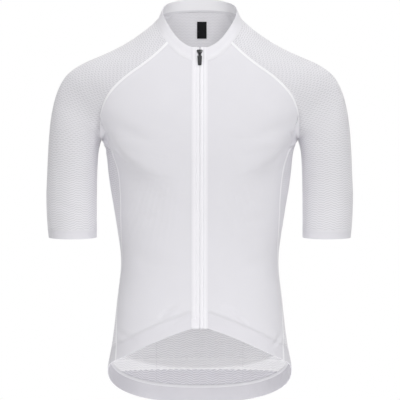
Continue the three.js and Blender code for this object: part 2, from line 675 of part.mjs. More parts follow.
// The tab: a bar under the bridge, a narrow neck with the eye that the bridge goes through, and a wider
// blade with a rounded end.
function pullShape() {
  const { neckHalf, neckEnd, topHalf, top, endHalf, end, corner } = PULL;
  const shape = new THREE.Shape();
  shape.moveTo(-neckHalf, EYE.start);
  shape.lineTo(-neckHalf, -neckEnd);
  shape.lineTo(-topHalf, -top);
  shape.lineTo(-endHalf, corner - end);
  shape.quadraticCurveTo(-endHalf, -end, corner - endHalf, -end);
  shape.lineTo(endHalf - corner, -end);
  shape.quadraticCurveTo(endHalf, -end, endHalf, corner - end);
  shape.lineTo(topHalf, -top);
  shape.lineTo(neckHalf, -neckEnd);
  shape.lineTo(neckHalf, EYE.start);
  const eye = new THREE.Path();
  eye.moveTo(EYE.half, -EYE.start);
  eye.lineTo(EYE.half, -EYE.end);
  eye.lineTo(-EYE.half, -EYE.end);
  eye.lineTo(-EYE.half, -EYE.start);
  shape.holes.push(eye);
  return shape;
}

const collarFoot = collarGrid[0][0];
const collarTop = lastOf(collarGrid)[0];
const sliderShare = (SLIDER.z - collarFoot.z) / (collarTop.z - collarFoot.z);
const sliderFrame = new THREE.Group();
sliderFrame.position.copy(collarFoot).lerp(collarTop, sliderShare).setX(0);
sliderFrame.position.y -= ZIP.proud;
sliderFrame.rotation.x = -Math.atan2(collarTop.y - collarFoot.y, collarTop.z - collarFoot.z);
jersey.add(sliderFrame);
const slider = addPiece("zip_slider", sliderBody(), MATERIALS.metal);
const pull = addPiece("zip_pull", uprightPlate(pullShape(), PULL_WALL, PULL_WALL / 2), MATERIALS.rubber);
pull.position.y = -pinAhead;
pull.rotation.x = radians(PULL_LEAN);
sliderFrame.add(slider, pull);

// The label lies against the inside of the back, below the neck.
const inside = new THREE.Raycaster();
function insideBack(x, z) {
  inside.set(V(x, 0, z), V(0, 1, 0));
  return inside.intersectObject(back)[0].point;
}
const labelColumns = [LABEL.x - LABEL.width / 2, 0, LABEL.x + LABEL.width / 2];
const labelRows = steps(2).map((t) => LABEL.top - LABEL.height * (1 - t));
const labelGrid = labelRows.map((z) => labelColumns.map((x) => insideBack(x, z)));
const inwards = labelGrid.map((row) => row.map(() => V(0, -1, 0)));
addPiece("neck_label", clothWall(labelGrid, inwards, SEAM_GAP, SEAM_GAP + LABEL.wall), MATERIALS.label);

export default jersey;
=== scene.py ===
# %% [markdown]
# A short-sleeved cycling jersey in Blender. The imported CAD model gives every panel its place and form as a
# plain stiff wall. Here each wall becomes real cloth: a fine sheet on the same points, with creases, seams,
# stitches, a knit or mesh surface, and a working-looking zip down the front.

# %% The frame
import math

import bmesh
import bpy
import numpy as np
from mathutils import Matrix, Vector


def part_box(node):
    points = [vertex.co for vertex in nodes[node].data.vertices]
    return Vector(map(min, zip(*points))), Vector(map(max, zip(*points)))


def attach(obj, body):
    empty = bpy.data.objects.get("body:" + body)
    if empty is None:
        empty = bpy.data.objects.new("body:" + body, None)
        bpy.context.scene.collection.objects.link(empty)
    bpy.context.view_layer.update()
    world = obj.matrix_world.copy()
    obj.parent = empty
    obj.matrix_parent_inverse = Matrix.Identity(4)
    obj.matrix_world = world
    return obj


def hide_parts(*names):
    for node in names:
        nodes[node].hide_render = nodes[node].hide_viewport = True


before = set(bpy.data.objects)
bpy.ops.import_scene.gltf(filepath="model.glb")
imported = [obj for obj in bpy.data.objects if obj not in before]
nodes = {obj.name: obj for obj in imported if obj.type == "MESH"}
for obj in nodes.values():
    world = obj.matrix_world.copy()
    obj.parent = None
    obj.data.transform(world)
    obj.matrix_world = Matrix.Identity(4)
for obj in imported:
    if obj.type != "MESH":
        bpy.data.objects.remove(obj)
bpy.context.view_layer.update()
MM = 0.001

# %% [markdown]
# The jersey is seen straight from the front on a white ground, as a shop shows it. A long lens far away
# keeps the two sides parallel, so the camera stands four metres off, at the height of the chest.

# %% The camera
CAMERA_PLACE = (0.55 * MM, -4.0, -325.6 * MM)
LENS = 194.6

lens = bpy.data.cameras.new("camera")
lens.lens = LENS
lens.sensor_width = 36
lens.clip_end = 100
camera = bpy.data.objects.new("camera", lens)
camera.location = CAMERA_PLACE
camera.rotation_euler = (math.radians(90), 0, 0)
bpy.context.scene.collection.objects.link(camera)
bpy.context.scene.camera = camera
print("the camera sees", round(36 / LENS * -CAMERA_PLACE[1], 3), "m across at the jersey")

# %% [markdown]
# Studio light: a large softbox on the upper right, a weaker one on the left, one behind that shines through
# the thin cloth, a small one below that lights the inside of the hem, and a pale room all round that fills
# the shadows. It is darker below than above. The ground is pure white
# where the camera sees it, and greyer where it only lights the cloth, so that the cloth keeps its own grey.

# %% The light
bpy.context.scene.view_settings.view_transform = "Standard"
ROOM_LOW, ROOM_HIGH = 0.18, 0.69  # brightness of the room below and above
SOFTBOXES = [  # place, size, power, in metres and watts
    ((1.4, -2.8, 1.8), 1.2, 48),
    ((-1.7, -2.9, 1.6), 1.2, 22),
    ((0.0, 2.6, 0.0), 2.0, 18),
    ((0.0, -0.2, -1.2), 0.3, 2.1),
]


def softbox(place, size, power):
    light = bpy.data.lights.new("softbox", "AREA")
    light.size, light.energy = size, power
    lamp = bpy.data.objects.new("softbox", light)
    lamp.location = place
    lamp.visible_camera = False
    lamp.rotation_euler = (Vector((0, 0, -0.3)) - Vector(place)).to_track_quat("-Z", "Y").to_euler()
    bpy.context.scene.collection.objects.link(lamp)


for place, size, power in SOFTBOXES:
    softbox(place, size, power)

# %% [markdown]
# A finish is a small network of shader nodes. To keep it readable, a socket is wrapped in a class whose
# operators add Math nodes, so that a knit is written as a formula. Any other node comes from one method.


# %% Shader maths
class Socket:
    """A socket of a shader node. Arithmetic on it adds Math nodes."""

    def __init__(self, paint, socket):
        self.paint, self.socket = paint, socket

    def maths(self, operation, *values):
        return self.paint.node("Math", {"operation": operation}, *values)

    def __add__(self, other):
        return self.maths("ADD", self, other)

    def __sub__(self, other):
        return self.maths("SUBTRACT", self, other)

    def __rsub__(self, other):
        return self.maths("SUBTRACT", other, self)

    def __mul__(self, other):
        return self.maths("MULTIPLY", self, other)

    def __truediv__(self, other):
        return self.maths("DIVIDE", self, other)

    def __pow__(self, other):
        return self.maths("POWER", self, other)

    __radd__ = __add__
    __rmul__ = __mul__

    def sine(self):
        return self.maths("SINE", self)

    def absolute(self):
        return self.maths("ABSOLUTE", self)

    def whole(self):
        return self.maths("FLOOR", self)

    def part(self):
        return self.maths("FRACT", self)

    def over(self, edge):
        return self.maths("GREATER_THAN", self, edge)

    def between(self, low, high):
        """0 below low, 1 above high, and smooth in between."""
        settings = {"interpolation_type": "SMOOTHSTEP"}
        return self.paint.node("MapRange", settings, self, low, high, 0.0, 1.0)


class Paint:
    """A material under construction, with one method that adds a node."""

    def __init__(self, name):
        self.material = bpy.data.materials.new(name)
        self.material.use_nodes = True
        self.tree = self.material.node_tree
        self.surface = self.tree.nodes["Principled BSDF"]

    def feed(self, socket, value):
        if isinstance(value, Socket):
            self.tree.links.new(value.socket, socket)
        elif value is not None:
            socket.default_value = value

    def node(self, kind, settings=None, *values, out=0, **named):
        made = self.tree.nodes.new("ShaderNode" + kind)
        for key, value in (settings or {}).items():
            if key == "stops":
                for stop, (at, colour) in zip(self.ramp_stops(made, len(value)), value):
                    stop.position, stop.color = at, colour
            else:
                setattr(made, key, value)
        for socket, value in zip(made.inputs, values):
            self.feed(socket, value)
        for key, value in named.items():
            self.feed(made.inputs[key.replace("_", " ")], value)
        return Socket(self, made.outputs[out])

    def ramp_stops(self, made, count):
        while len(made.color_ramp.elements) < count:
            made.color_ramp.elements.new(0.5)
        return made.color_ramp.elements

    def mix(self, share, first, second):
        """Two colours mixed by a share that varies."""
        made = self.tree.nodes.new("ShaderNodeMix")
        made.data_type = "RGBA"
        for socket, value in zip((made.inputs[0], made.inputs[6], made.inputs[7]), (share, first, second)):
            self.feed(socket, value)
        return Socket(self, made.outputs[2])

    def cut(self):
        """The place on the cloth as it was cut, in millimetres: across and up."""
        uv = self.node("UVMap", {"uv_map": "cut"})
        split = self.node("SeparateXYZ", None, uv)
        up = Socket(self, split.socket.node.outputs[1])
        return split * 1000.0, up * 1000.0

    def noise(self, place, scale, detail=2.0):
        return self.node("TexNoise", None, Vector=place, Scale=scale, Detail=detail)

    def bump(self, height, depth, strength=1.0):
        """A normal tilted by a height between 0 and 1; depth is in metres."""
        return self.node("Bump", None, Strength=strength, Distance=depth, Height=height)

    def finish(self, **sockets):
        for key, value in sockets.items():
            self.feed(self.surface.inputs[key.replace("_", " ")], value)
        return self.material


print("shader maths ready")

# %% [markdown]
# The room is a world whose colour depends on what looks at it: white for the camera, and a soft grey for
# the light that falls on the cloth, brighter from above than from below.

# %% The room and the floor
world = bpy.data.worlds.new("room")
world.use_nodes = True
bpy.context.scene.world = world
tree = world.node_tree
path = tree.nodes.new("ShaderNodeLightPath")
lit = tree.nodes["Background"]
lit.inputs["Color"].default_value = (1, 1, 1, 1)
heading = tree.nodes.new("ShaderNodeTexCoord")
upward = tree.nodes.new("ShaderNodeSeparateXYZ")
level = tree.nodes.new("ShaderNodeMapRange")
level.inputs["From Min"].default_value = -0.6
level.inputs["From Max"].default_value = 0.3
level.inputs["To Min"].default_value = ROOM_LOW
level.inputs["To Max"].default_value = ROOM_HIGH
tree.links.new(heading.outputs["Generated"], upward.inputs[0])
tree.links.new(upward.outputs[2], level.inputs["Value"])
tree.links.new(level.outputs[0], lit.inputs["Strength"])
seen = tree.nodes.new("ShaderNodeBackground")
seen.inputs["Strength"].default_value = 1.0
seen.inputs["Color"].default_value = (1, 1, 1, 1)
choice = tree.nodes.new("ShaderNodeMixShader")
tree.links.new(path.outputs["Is Camera Ray"], choice.inputs[0])
tree.links.new(lit.outputs[0], choice.inputs[1])
tree.links.new(seen.outputs[0], choice.inputs[2])
tree.links.new(choice.outputs[0], tree.nodes["World Output"].inputs[0])

FLOOR = -1.35
bpy.ops.object.select_all(action="DESELECT")
bpy.ops.mesh.primitive_circle_add(vertices=96, radius=1.7, fill_type="NGON", location=(0, 0, FLOOR))
floor = bpy.context.object
floor.name = "floor"
pale = Paint("pale_floor")
spot = pale.node("TexCoord", out=3)
floor.data.materials.append(
    pale.finish(
        Base_Color=pale.mix(pale.noise(spot, 3.0), (0.80, 0.80, 0.80, 1), (0.84, 0.84, 0.84, 1)),
        Roughness=0.9,
    )
)
print("floor at", FLOOR, "m")

# %% [markdown]
# Each CAD wall is a grid of points with a thickness. Its triangles are welded, its narrow rim is dropped,
# and the larger of the two skins that are left is the outer one. From the lowest row, every row is what
# the row before touches, so the grid can be read back row by row. That grid is what the cloth is made on.

# %% Reading a wall's points
RIM = 1.7 * MM  # an edge shorter than this belongs to the rim of a wall


def outer_skin(node):
    """The welded points of a wall's outer side, each one's neighbours, and its outlines."""
    wall = bmesh.new()
    wall.from_mesh(nodes[node].data)
    bmesh.ops.remove_doubles(wall, verts=wall.verts, dist=0.01 * MM)
    rim = [f for f in wall.faces if min(e.calc_length() for e in f.edges) < RIM]
    bmesh.ops.delete(wall, geom=rim, context="FACES_ONLY")
    sides, left = [], set(wall.faces)
    while left:
        side = [left.pop()]
        for face in side:
            touching = {g for e in face.edges for g in e.link_faces} & left
            left -= touching
            side.extend(touching)
        sides.append(side)
    side = max(sides, key=lambda faces: sum(f.calc_area() for f in faces))
    bmesh.ops.delete(wall, geom=[f for f in wall.faces if f not in set(side)], context="FACES")
    loose = [v for v in wall.verts if not v.link_faces]
    bmesh.ops.delete(wall, geom=loose, context="VERTS")
    wall.verts.index_update()
    points = np.array([v.co[:] for v in wall.verts])
    normals = np.array([v.normal[:] for v in wall.verts])
    near = [{e.other_vert(v).index for e in v.link_edges} for v in wall.verts]
    border = {}
    for e in wall.edges:
        if len(e.link_faces) == 1:
            a, b = (v.index for v in e.verts)
            border.setdefault(a, set()).add(b)
            border.setdefault(b, set()).add(a)
    wall.free()
    outlines = []
    while border:
        outline = [min(border)]
        while True:
            ahead = border.pop(outline[-1]) & set(border)
            if not ahead:
                break
            outline.append(min(ahead))
        outlines.append(outline)
    return points, normals, near, outlines


def lowest_row(points, outline, columns):
    """The stretch of an outline between the two lower corners of a panel."""
    place = points[outline]
    back, ahead = place - np.roll(place, 1, 0), np.roll(place, -1, 0) - place
    turn = 1 - (back * ahead).sum(1) / np.linalg.norm(back, axis=1) / np.linalg.norm(ahead, axis=1)
    count = len(outline)
    rows = count // 2 - columns + 2
    best = []
    for k in range(count):
        corners = np.cumsum([k, columns - 1, rows - 1, columns - 1]) % count
        row = [outline[(k + i) % count] for i in range(columns)]
        best.append((round(turn[corners].sum(), 3), -points[row][:, 2].mean(), row))
    top = max(b[0] for b in best)
    return max((b for b in best if b[0] > top - 0.01), key=lambda b: b[1])[2]


def in_order(layer, near):
    """A row's points in order along it, or round it with the first one again at the end."""
    inside = set(layer)
    ends = [p for p in inside if len(near[p] & inside) == 1]
    row = [min(ends or inside)]
    inside.discard(row[0])
    while inside:
        row.append(min(near[row[-1]] & inside))
        inside.discard(row[-1])
    return row if ends else [*row, row[0]]


def beside(row, guide, points):
    """The same row, turned round or shifted so that it runs beside the guide's points."""
    ring = row[0] == row[-1]
    core = row[:-1] if ring else row
    ways = []
    for way in (core, core[::-1]):
        for k in range(len(core) if ring else 1):
            turned = way[k:] + way[:k]
            ways.append(turned + turned[:1] if ring else turned)
    return min(ways, key=lambda w: np.linalg.norm(points[w] - guide, axis=1).sum())


def wall_grid(node, columns=0, above=None):
    """The points of a wall's outer side as an array of rows, from the lowest row up."""
    points, normals, near, outlines = outer_skin(node)
    if columns:
        layers = [lowest_row(points, outlines[0], columns)]
    else:
        layers = [min(outlines, key=lambda o: points[o][:, 2].mean())]
    seen_points = set(layers[0])
    while len(seen_points) < len(points):
        layer = {q for p in layers[-1] for q in near[p]} - seen_points
        layers.append(sorted(layer))
        seen_points |= layer
    rows = [in_order(layer, near) for layer in layers]
    guide = points[rows[-1]] if above is None else above
    for i in reversed(range(len(rows))):
        rows[i] = beside(rows[i], guide, points)
        guide = points[rows[i]]
    grid, facing = points[rows], normals[rows]
    across, up = np.gradient(grid, axis=1), np.gradient(grid, axis=0)
    if (np.cross(across, up) * facing).sum() < 0:
        grid = grid[:, ::-1]
    return grid


PANELS = {
    "front_left": 10, "front_right": 10, "back": 19, "collar": 73,
    "hem_front_left": 10, "hem_front_right": 10, "hem_back": 19,
    "pocket_left": 5, "pocket_centre": 5, "pocket_right": 5,
    "sleeve_left": 0, "sleeve_right": 0,
}
GRID = {name: wall_grid(name, columns) for name, columns in PANELS.items()}
for side in ("left", "right"):
    GRID["cuff_" + side] = wall_grid("cuff_" + side, above=GRID["sleeve_" + side][0])
for name, grid in GRID.items():
    print(name, grid.shape[:2], "first", (grid[0, 0] * 1000).round(1), "last", (grid[-1, -1] * 1000).round(1))

# %% [markdown]
# Cloth bends smoothly between the CAD points. A curve that passes through them, with a slope at each that
# comes from its neighbours, gives as many points in between as the creases need. Round an arm the row
# closes on itself. At the armpit the edge of a panel has a corner, which must stay one.

# %% Finer rows
ARMPIT = {"front_left": 13, "front_right": 13, "back": 13, "sleeve_left": 6, "sleeve_right": 6}
RINGS = {"sleeve_left": 7, "sleeve_right": 7, "cuff_left": 3, "cuff_right": 3}


def finer(grid, steps, rings=0, corner=None):
    """More points between the rows of a grid, on smooth curves through the points of each column.
    The first `rings` columns are closed curves. `corner` is a row where the outer columns turn sharply."""
    gaps = np.linalg.norm(np.diff(grid, axis=0), axis=2)[..., None]
    gaps = np.maximum(gaps, 1e-9)
    slopes = np.diff(grid, axis=0) / gaps
    inner = (slopes[:-1] * gaps[1:] + slopes[1:] * gaps[:-1]) / (gaps[:-1] + gaps[1:])
    first, last = 2 * slopes[:1] - inner[:1], 2 * slopes[-1:] - inner[-1:]
    if rings:
        wrap = slopes[-1:, :rings] * gaps[:1, :rings] + slopes[:1, :rings] * gaps[-1:, :rings]
        wrap /= gaps[:1, :rings] + gaps[-1:, :rings]
        first[:, :rings] = last[:, :rings] = wrap
    leaving = np.concatenate([first, inner, last])
    arriving = leaving.copy()
    if corner is not None:
        outer = np.linspace(0, 1, grid.shape[1])
        edge = np.clip(1 - np.minimum(outer, 1 - outer) / 0.12, 0, 1)[:, None]
        ahead = 2 * slopes[corner] - leaving[corner + 1]
        behind = 2 * slopes[corner - 1] - leaving[corner - 1]
        leaving[corner] += edge * (ahead - leaving[corner])
        arriving[corner] += edge * (behind - arriving[corner])
    rows = []
    for i in range(len(grid) - 1):
        for t in np.arange(steps) / steps:
            rows.append(
                grid[i] * (1 + 2 * t) * (1 - t) ** 2
                + leaving[i] * gaps[i] * t * (1 - t) ** 2
                + grid[i + 1] * t * t * (3 - 2 * t)
                - arriving[i + 1] * gaps[i] * t * t * (1 - t)
            )
    return np.array([*rows, grid[-1]])


def smoothstep(value):
    value = np.clip(value, 0, 1)
    return value * value * (3 - 2 * value)


def fine_grid(name, across, up):
    wide = finer(GRID[name].swapaxes(0, 1), across, rings=RINGS.get(name, 0)).swapaxes(0, 1)
    return finer(wide, up, corner=ARMPIT.get(name))


STEPS = {  # how many finer stretches to each one of the CAD, across and up
    "front": (5, 8), "back": (8, 8), "sleeve": (6, 8), "collar": (2, 3), "hem": (6, 6),
    "pocket": (8, 8), "cuff": (6, 3),
}
CLOTH = {name: fine_grid(name, *STEPS[name.split("_")[0]]) for name in GRID}


def even_out(grid, row, reach, rounds):
    """Takes the bend out of the columns near a row, least at the two edges."""
    outer = np.linspace(0, 1, grid.shape[1])
    share = smoothstep(np.minimum(outer, 1 - outer) / 0.2) * np.exp(-((np.arange(len(grid)) - row) / reach) ** 2)[:, None]
    for _ in range(rounds):
        grid[1:-1] += (grid[2:] - 2 * grid[1:-1] + grid[:-2]) * 0.25 * share[1:-1, :, None]


for side in ("left", "right"):
    even_out(CLOTH["sleeve_" + side], ARMPIT["sleeve_left"] * STEPS["sleeve"][1], 14, 120)
    even_out(CLOTH["sleeve_" + side], len(CLOTH["sleeve_" + side]) * 0.7, 50, 8)
print({name: grid.shape[:2] for name, grid in CLOTH.items()})

# %% [markdown]
# Worn cloth isn't smooth. It pulls in soft folds from the armpits, sags a little under the chest and gathers
# above the elastic hem. The broad folds are in the CAD. These are the finer ones, placed after what
# the photograph shows and as uneven, with like ones on the sides that it doesn't show. Each is a bent line
# with a width and a depth: a trough has a negative depth. It marks the front, the back or, where the cloth is
# pinched right beside an armpit, both. The swells are wider: under each breast, and below the shoulder
# blades, the filled-out cloth steps back towards the waist.

# %% Creases
FRONT, BACK, ROUND = -1, 1, 0
CREASES = [  # face, three points of the line as (x, z), half width, depth; all in millimetres
    (ROUND, (-174, -230), (-167, -237), (-160, -248), 3.2, -2.8),
    (ROUND, (164, -202), (175, -211), (171, -221), 3.2, -2.6),
    (FRONT, (156, -229), (149, -250), (126, -262), 8, -2.6),
    (FRONT, (172, -224), (165, -240), (150, -276), 6, -2.2),
    (FRONT, (158, -188), (130, -204), (92, -214), 11, -1.6),
    (FRONT, (-168, -186), (-174, -198), (-175, -208), 3.2, -1.0),
    (FRONT, (-158, -230), (-146, -252), (-114, -268), 9, -2.6),
    (FRONT, (-154, -190), (-122, -206), (-88, -224), 11, -1.5),
    (FRONT, (-45, -518), (-58, -527), (-72, -541), 5, -1.9),
    (FRONT, (-28, -532), (-40, -540), (-48, -550), 5, -0.8),
    (FRONT, (47, -520), (64, -532), (82, -550), 5, -1.9),
    (FRONT, (30, -516), (38, -526), (54, -534), 5, -0.8),
    (FRONT, (146, -572), (146, -580), (136, -588), 4, -2.2),
    (FRONT, (-148, -566), (-136, -576), (-120, -580), 6, -1.2),
    (FRONT, (120, -430), (100, -446), (70, -450), 13, -1.5),
    (FRONT, (-122, -424), (-96, -440), (-66, -440), 13, -1.4),
    (FRONT, (130, -352), (104, -366), (74, -366), 12, -1.2),
    (FRONT, (-128, -344), (-98, -362), (-64, -360), 12, -1.1),
    (BACK, (166, -196), (148, -230), (112, -252), 9, -2.5),
    (BACK, (-164, -200), (-144, -236), (-106, -254), 9, -2.6),
    (BACK, (172, -218), (160, -256), (134, -296), 7, -1.6),
    (BACK, (-172, -216), (-164, -250), (-140, -300), 7, -1.7),
    (BACK, (140, -380), (96, -398), (40, -392), 11, -1.9),
    (BACK, (-138, -372), (-88, -394), (-30, -400), 11, -1.8),
    (BACK, (130, -414), (84, -436), (20, -430), 9, -1.2),
    (BACK, (-126, -420), (-74, -432), (-18, -446), 9, -1.1),
    (BACK, (60, -40), (30, -62), (4, -66), 10, -1.2),
    (BACK, (-64, -42), (-36, -66), (-8, -70), 10, -1.2),
    (FRONT, (222, -78), (206, -112), (186, -140), 12, -0.7),
    (FRONT, (240, -96), (228, -132), (204, -164), 12, -0.5),
    (FRONT, (-220, -80), (-208, -114), (-184, -138), 12, -0.6),
    (FRONT, (-242, -98), (-226, -136), (-202, -166), 12, -0.5),
    (FRONT, (196, -206), (214, -222), (240, -228), 8, -0.7),
    (FRONT, (-196, -206), (-216, -220), (-238, -230), 8, -0.7),
    (FRONT, (196, -284), (222, -296), (250, -290), 9, -1.0),
    (FRONT, (-194, -276), (-220, -292), (-252, -292), 9, -1.0),
    (FRONT, (262, -336), (236, -350), (206, -346), 8, -0.9),
    (FRONT, (-264, -330), (-232, -346), (-204, -350), 8, -0.9),
    (BACK, (192, -208), (216, -224), (246, -226), 6, -1.6),
    (BACK, (-194, -204), (-218, -222), (-244, -228), 6, -1.6),
    (BACK, (200, -290), (226, -300), (256, -288), 9, -1.1),
    (BACK, (-200, -282), (-228, -296), (-256, -292), 9, -1.1),
    (BACK, (220, -84), (204, -118), (184, -146), 10, -1.5),
    (BACK, (-222, -82), (-204, -116), (-186, -148), 10, -1.5),
]


SWELLS = [  # face, three points of the lower border as (x, z), width of the border, height; in millimetres
    (FRONT, (166, -208), (144, -278), (26, -290), 22, 10.5),
    (FRONT, (-168, -206), (-144, -282), (-26, -290), 22, 15.0),
    (BACK, (160, -236), (120, -262), (48, -258), 18, 1.6),
    (BACK, (-160, -234), (-118, -264), (-48, -262), 18, 1.8),
]


def grid_normals(grid, rings=0):
    """The unit vectors square to a grid, away from the wearer."""
    across, up = np.gradient(grid, axis=1), np.gradient(grid, axis=0)
    if rings:
        across[:rings, 0] = across[:rings, -1] = (grid[:rings, 1] - grid[:rings, -2]) / 2
    square = np.cross(across, up)
    return square / np.maximum(np.linalg.norm(square, axis=2, keepdims=True), 1e-12)


def crease_profile(across):
    """A trough with a ridge on either side, the one higher than the other."""
    return np.exp(-across**2) - 0.45 * np.exp(-((across - 1.5) ** 2)) - 0.2 * np.exp(-((across + 1.6) ** 2))


def crease_taper(share):
    return np.sin(np.pi * (0.08 + 0.84 * share)) ** 0.7


def swell_profile(across):
    """A step at the border: out above it, in below it, steeper above, fading away slowly on both sides."""
    reach = np.where(across > 0, 0.5, 0.9)
    return reach * np.tanh(across / reach) * np.exp(-((across / np.where(across > 0, 2.4, 4.0)) ** 2))


def swell_taper(share):
    return smoothstep((1 - share) / 0.5)


def lift_by(table, profile, taper, reach, grid, normals):
    """How far the forms of a table lift each point along its normal, in metres."""
    lift = np.zeros(grid.shape[:2])
    place = grid[..., [0, 2]] / MM
    t = np.linspace(0, 1, 25)[:, None]
    for face, start, middle, end, width, depth in table:
        start, middle, end = (np.array(p, float) for p in (start, middle, end))
        line = (1 - t) ** 2 * start + 2 * t * (1 - t) * middle + t * t * end
        inside = (place > line.min(0) - reach * width).all(-1) & (place < line.max(0) + reach * width).all(-1)
        inside &= normals[..., 1] * face >= 0
        if not inside.any():
            continue
        away = np.linalg.norm(place[inside][:, None] - line, axis=2)
        nearest = away.argmin(1)
        share = t[nearest, 0]
        heading = line[np.minimum(nearest + 1, 24)] - line[np.maximum(nearest - 1, 0)]
        heading *= np.where(profile is swell_profile, -np.sign(start[0]), 1.0)
        offset = place[inside] - line[nearest]
        side = np.sign(heading[:, 0] * offset[:, 1] - heading[:, 1] * offset[:, 0])
        turned = smoothstep(normals[inside][:, 1] * face / 0.3) if face else 1.0
        lift[inside] += depth * MM * taper(share) * profile(side * away.min(1) / width) * turned
    return lift


NORMAL = {}
for name, grid in CLOTH.items():
    rings = RINGS.get(name, 0) and (len(grid) if "cuff" in name else ARMPIT[name] * STEPS["sleeve"][1] + 1)
    normals = grid_normals(grid, rings)
    lift = lift_by(CREASES, crease_profile, crease_taper, 3, grid, normals)
    if name in ("front_left", "front_right", "back"):
        lift += lift_by(SWELLS, swell_profile, swell_taper, 8, grid, normals)
    CLOTH[name] = grid + lift[..., None] * normals
    NORMAL[name] = grid_normals(CLOTH[name], rings)
    print(name, "creases and swells from", round(lift.min() * 1000, 2), "to", round(lift.max() * 1000, 2), "mm")

# %% [markdown]
# A panel of cloth is then a sheet of small squares on those points. Its UV map is the cloth as it was cut:
# the distance across from the middle column and up from the lowest row, in metres. Every knit, mesh and
# stitch is drawn on that map, so it follows the cloth round the body. Solidify gives the sheet its
# thickness inwards, and its inner side takes the second material.


# %% Sheets
def cut_map(grid):
    """Where each point lay on the cloth before it was sewn, in metres: across and up."""
    steps_across = np.linalg.norm(np.diff(grid, axis=1), axis=2)
    across = np.concatenate([np.zeros((len(grid), 1)), steps_across.cumsum(1)], axis=1)
    middle = grid.shape[1] // 2
    across -= across[:, middle : middle + 1]
    steps_up = np.linalg.norm(np.diff(grid, axis=0), axis=2).mean(1)
    up = np.concatenate([[0], steps_up.cumsum()])
    return np.stack([across, np.broadcast_to(up[:, None], across.shape)], axis=2)


def sheet_mesh(name, grid, rings=0, mapping=None):
    """An object of one face for each square of the grid. The first `rings` rows are closed."""
    rows, columns = grid.shape[:2]
    index = np.arange(rows * columns).reshape(rows, columns)
    index[:rings, -1] = index[:rings, 0]
    mapping = cut_map(grid) if mapping is None else mapping
    corners = np.stack([index[:-1, :-1], index[:-1, 1:], index[1:, 1:], index[1:, :-1]], axis=2)
    places = np.stack([mapping[:-1, :-1], mapping[:-1, 1:], mapping[1:, 1:], mapping[1:, :-1]], axis=2)
    used = np.unique(corners)
    lookup = np.zeros(rows * columns, int)
    lookup[used] = np.arange(len(used))
    mesh = bpy.data.meshes.new(name)
    mesh.from_pydata(grid.reshape(-1, 3)[used].tolist(), [], lookup[corners].reshape(-1, 4).tolist())
    mesh.uv_layers.new(name="cut").data.foreach_set("uv", places.astype(np.float32).ravel())
    mesh.shade_smooth()
    piece = bpy.data.objects.new(name, mesh)
    bpy.context.scene.collection.objects.link(piece)
    return piece


def thicken(piece, wall, second=0):
    """Gives a sheet its wall, inwards from where it lies."""
    bpy.ops.object.select_all(action="DESELECT")
    piece.select_set(True)
    bpy.context.view_layer.objects.active = piece
    solid = piece.modifiers.new("wall", "SOLIDIFY")
    solid.thickness, solid.offset = wall, -1
    solid.use_even_offset = True
    solid.material_offset = second
    bpy.ops.object.modifier_apply(modifier="wall")
    bpy.ops.object.shade_smooth_by_angle(angle=math.radians(50))


def declare_sheet(grid):
    """Works out the panel's cut map; nothing further is done with it."""
    mapping = cut_map(grid)


print("sheets ready")

# %% [markdown]
# The body cloth is a smooth warp knit. Close to, it has fine upright ribs of loops; from a step back it is
# matt with a faint sheen, and slightly uneven where it has been worn and pulled. The ribs are a bump, and
# the colour varies only a little. The cloth is thin, so light comes through it: that is what the subsurface
# setting is for, with a reach of a few millimetres.

# %% Body cloth
RIB = 0.9  # width of one rib of loops, in millimetres
COURSE = 0.7  # height of one loop
REACH = 3 * MM  # how far light travels inside the cloth


def knit_height(paint, across, up):
    rib = (across * (math.pi / RIB)).sine().absolute()
    loop = ((up + across.maths("PINGPONG", across, RIB) * 0.5) * (2 * math.pi / COURSE)).sine()
    return rib * 0.7 + loop * 0.15 + 0.15


def cloth_finish(paint, height, colour, shade, depth, share=0.7, thin=0.4):
    """What all the cloths have in common: a height between 0 and 1 that shades and lifts them."""
    place = paint.node("TexCoord", out=3)
    worn = paint.noise(place, 15.0, 4.0)
    return paint.finish(
        Base_Color=paint.mix(height * share + worn * (1 - share), shade, colour),
        Roughness=worn * 0.12 + 0.64,
        Sheen_Weight=0.2,
        Sheen_Roughness=0.45,
        Normal=paint.bump(height, depth, 0.6),
        Subsurface_Weight=thin,
        Subsurface_Radius=(1.0, 1.0, 1.0),
        Subsurface_Scale=REACH,
    )


def body_cloth(name, colour, shade, thin=0.4):
    paint = Paint(name)
    across, up = paint.cut()
    return cloth_finish(paint, knit_height(paint, across, up), colour, shade, 0.06 * MM, 0.35, thin)


WHITE = (0.80, 0.79, 0.83, 1)
BODY = body_cloth("body_cloth", WHITE, (0.74, 0.73, 0.77, 1), 0.25)
BODY_INSIDE = body_cloth("body_cloth_inside", WHITE, (0.74, 0.73, 0.77, 1))
POCKET = body_cloth("pocket_cloth", WHITE, (0.74, 0.73, 0.77, 1), 0.8)

# %% [markdown]
# The sleeves and the back are a mesh: staggered rows of small flat openings, so that the cloth breathes.
# Low on the arm the rows run on as lines that swing up and down in a wide zigzag. Towards the shoulder the
# threads between the openings close them to short dashes, and every second row of them is shifted by half
# a cell, so that they line up on slants. The openings are dents that are a little darker.

# %% Mesh cloth
MESH_ROW = 4.3  # height of one row of openings, in millimetres
MESH_CELL = 9.0  # from one opening to the next along a row


def zigzag(across, period, swing):
    """A soft wave along the cloth that moves the rows up and down."""
    return (across * (2 * math.pi / period)).sine() * swing


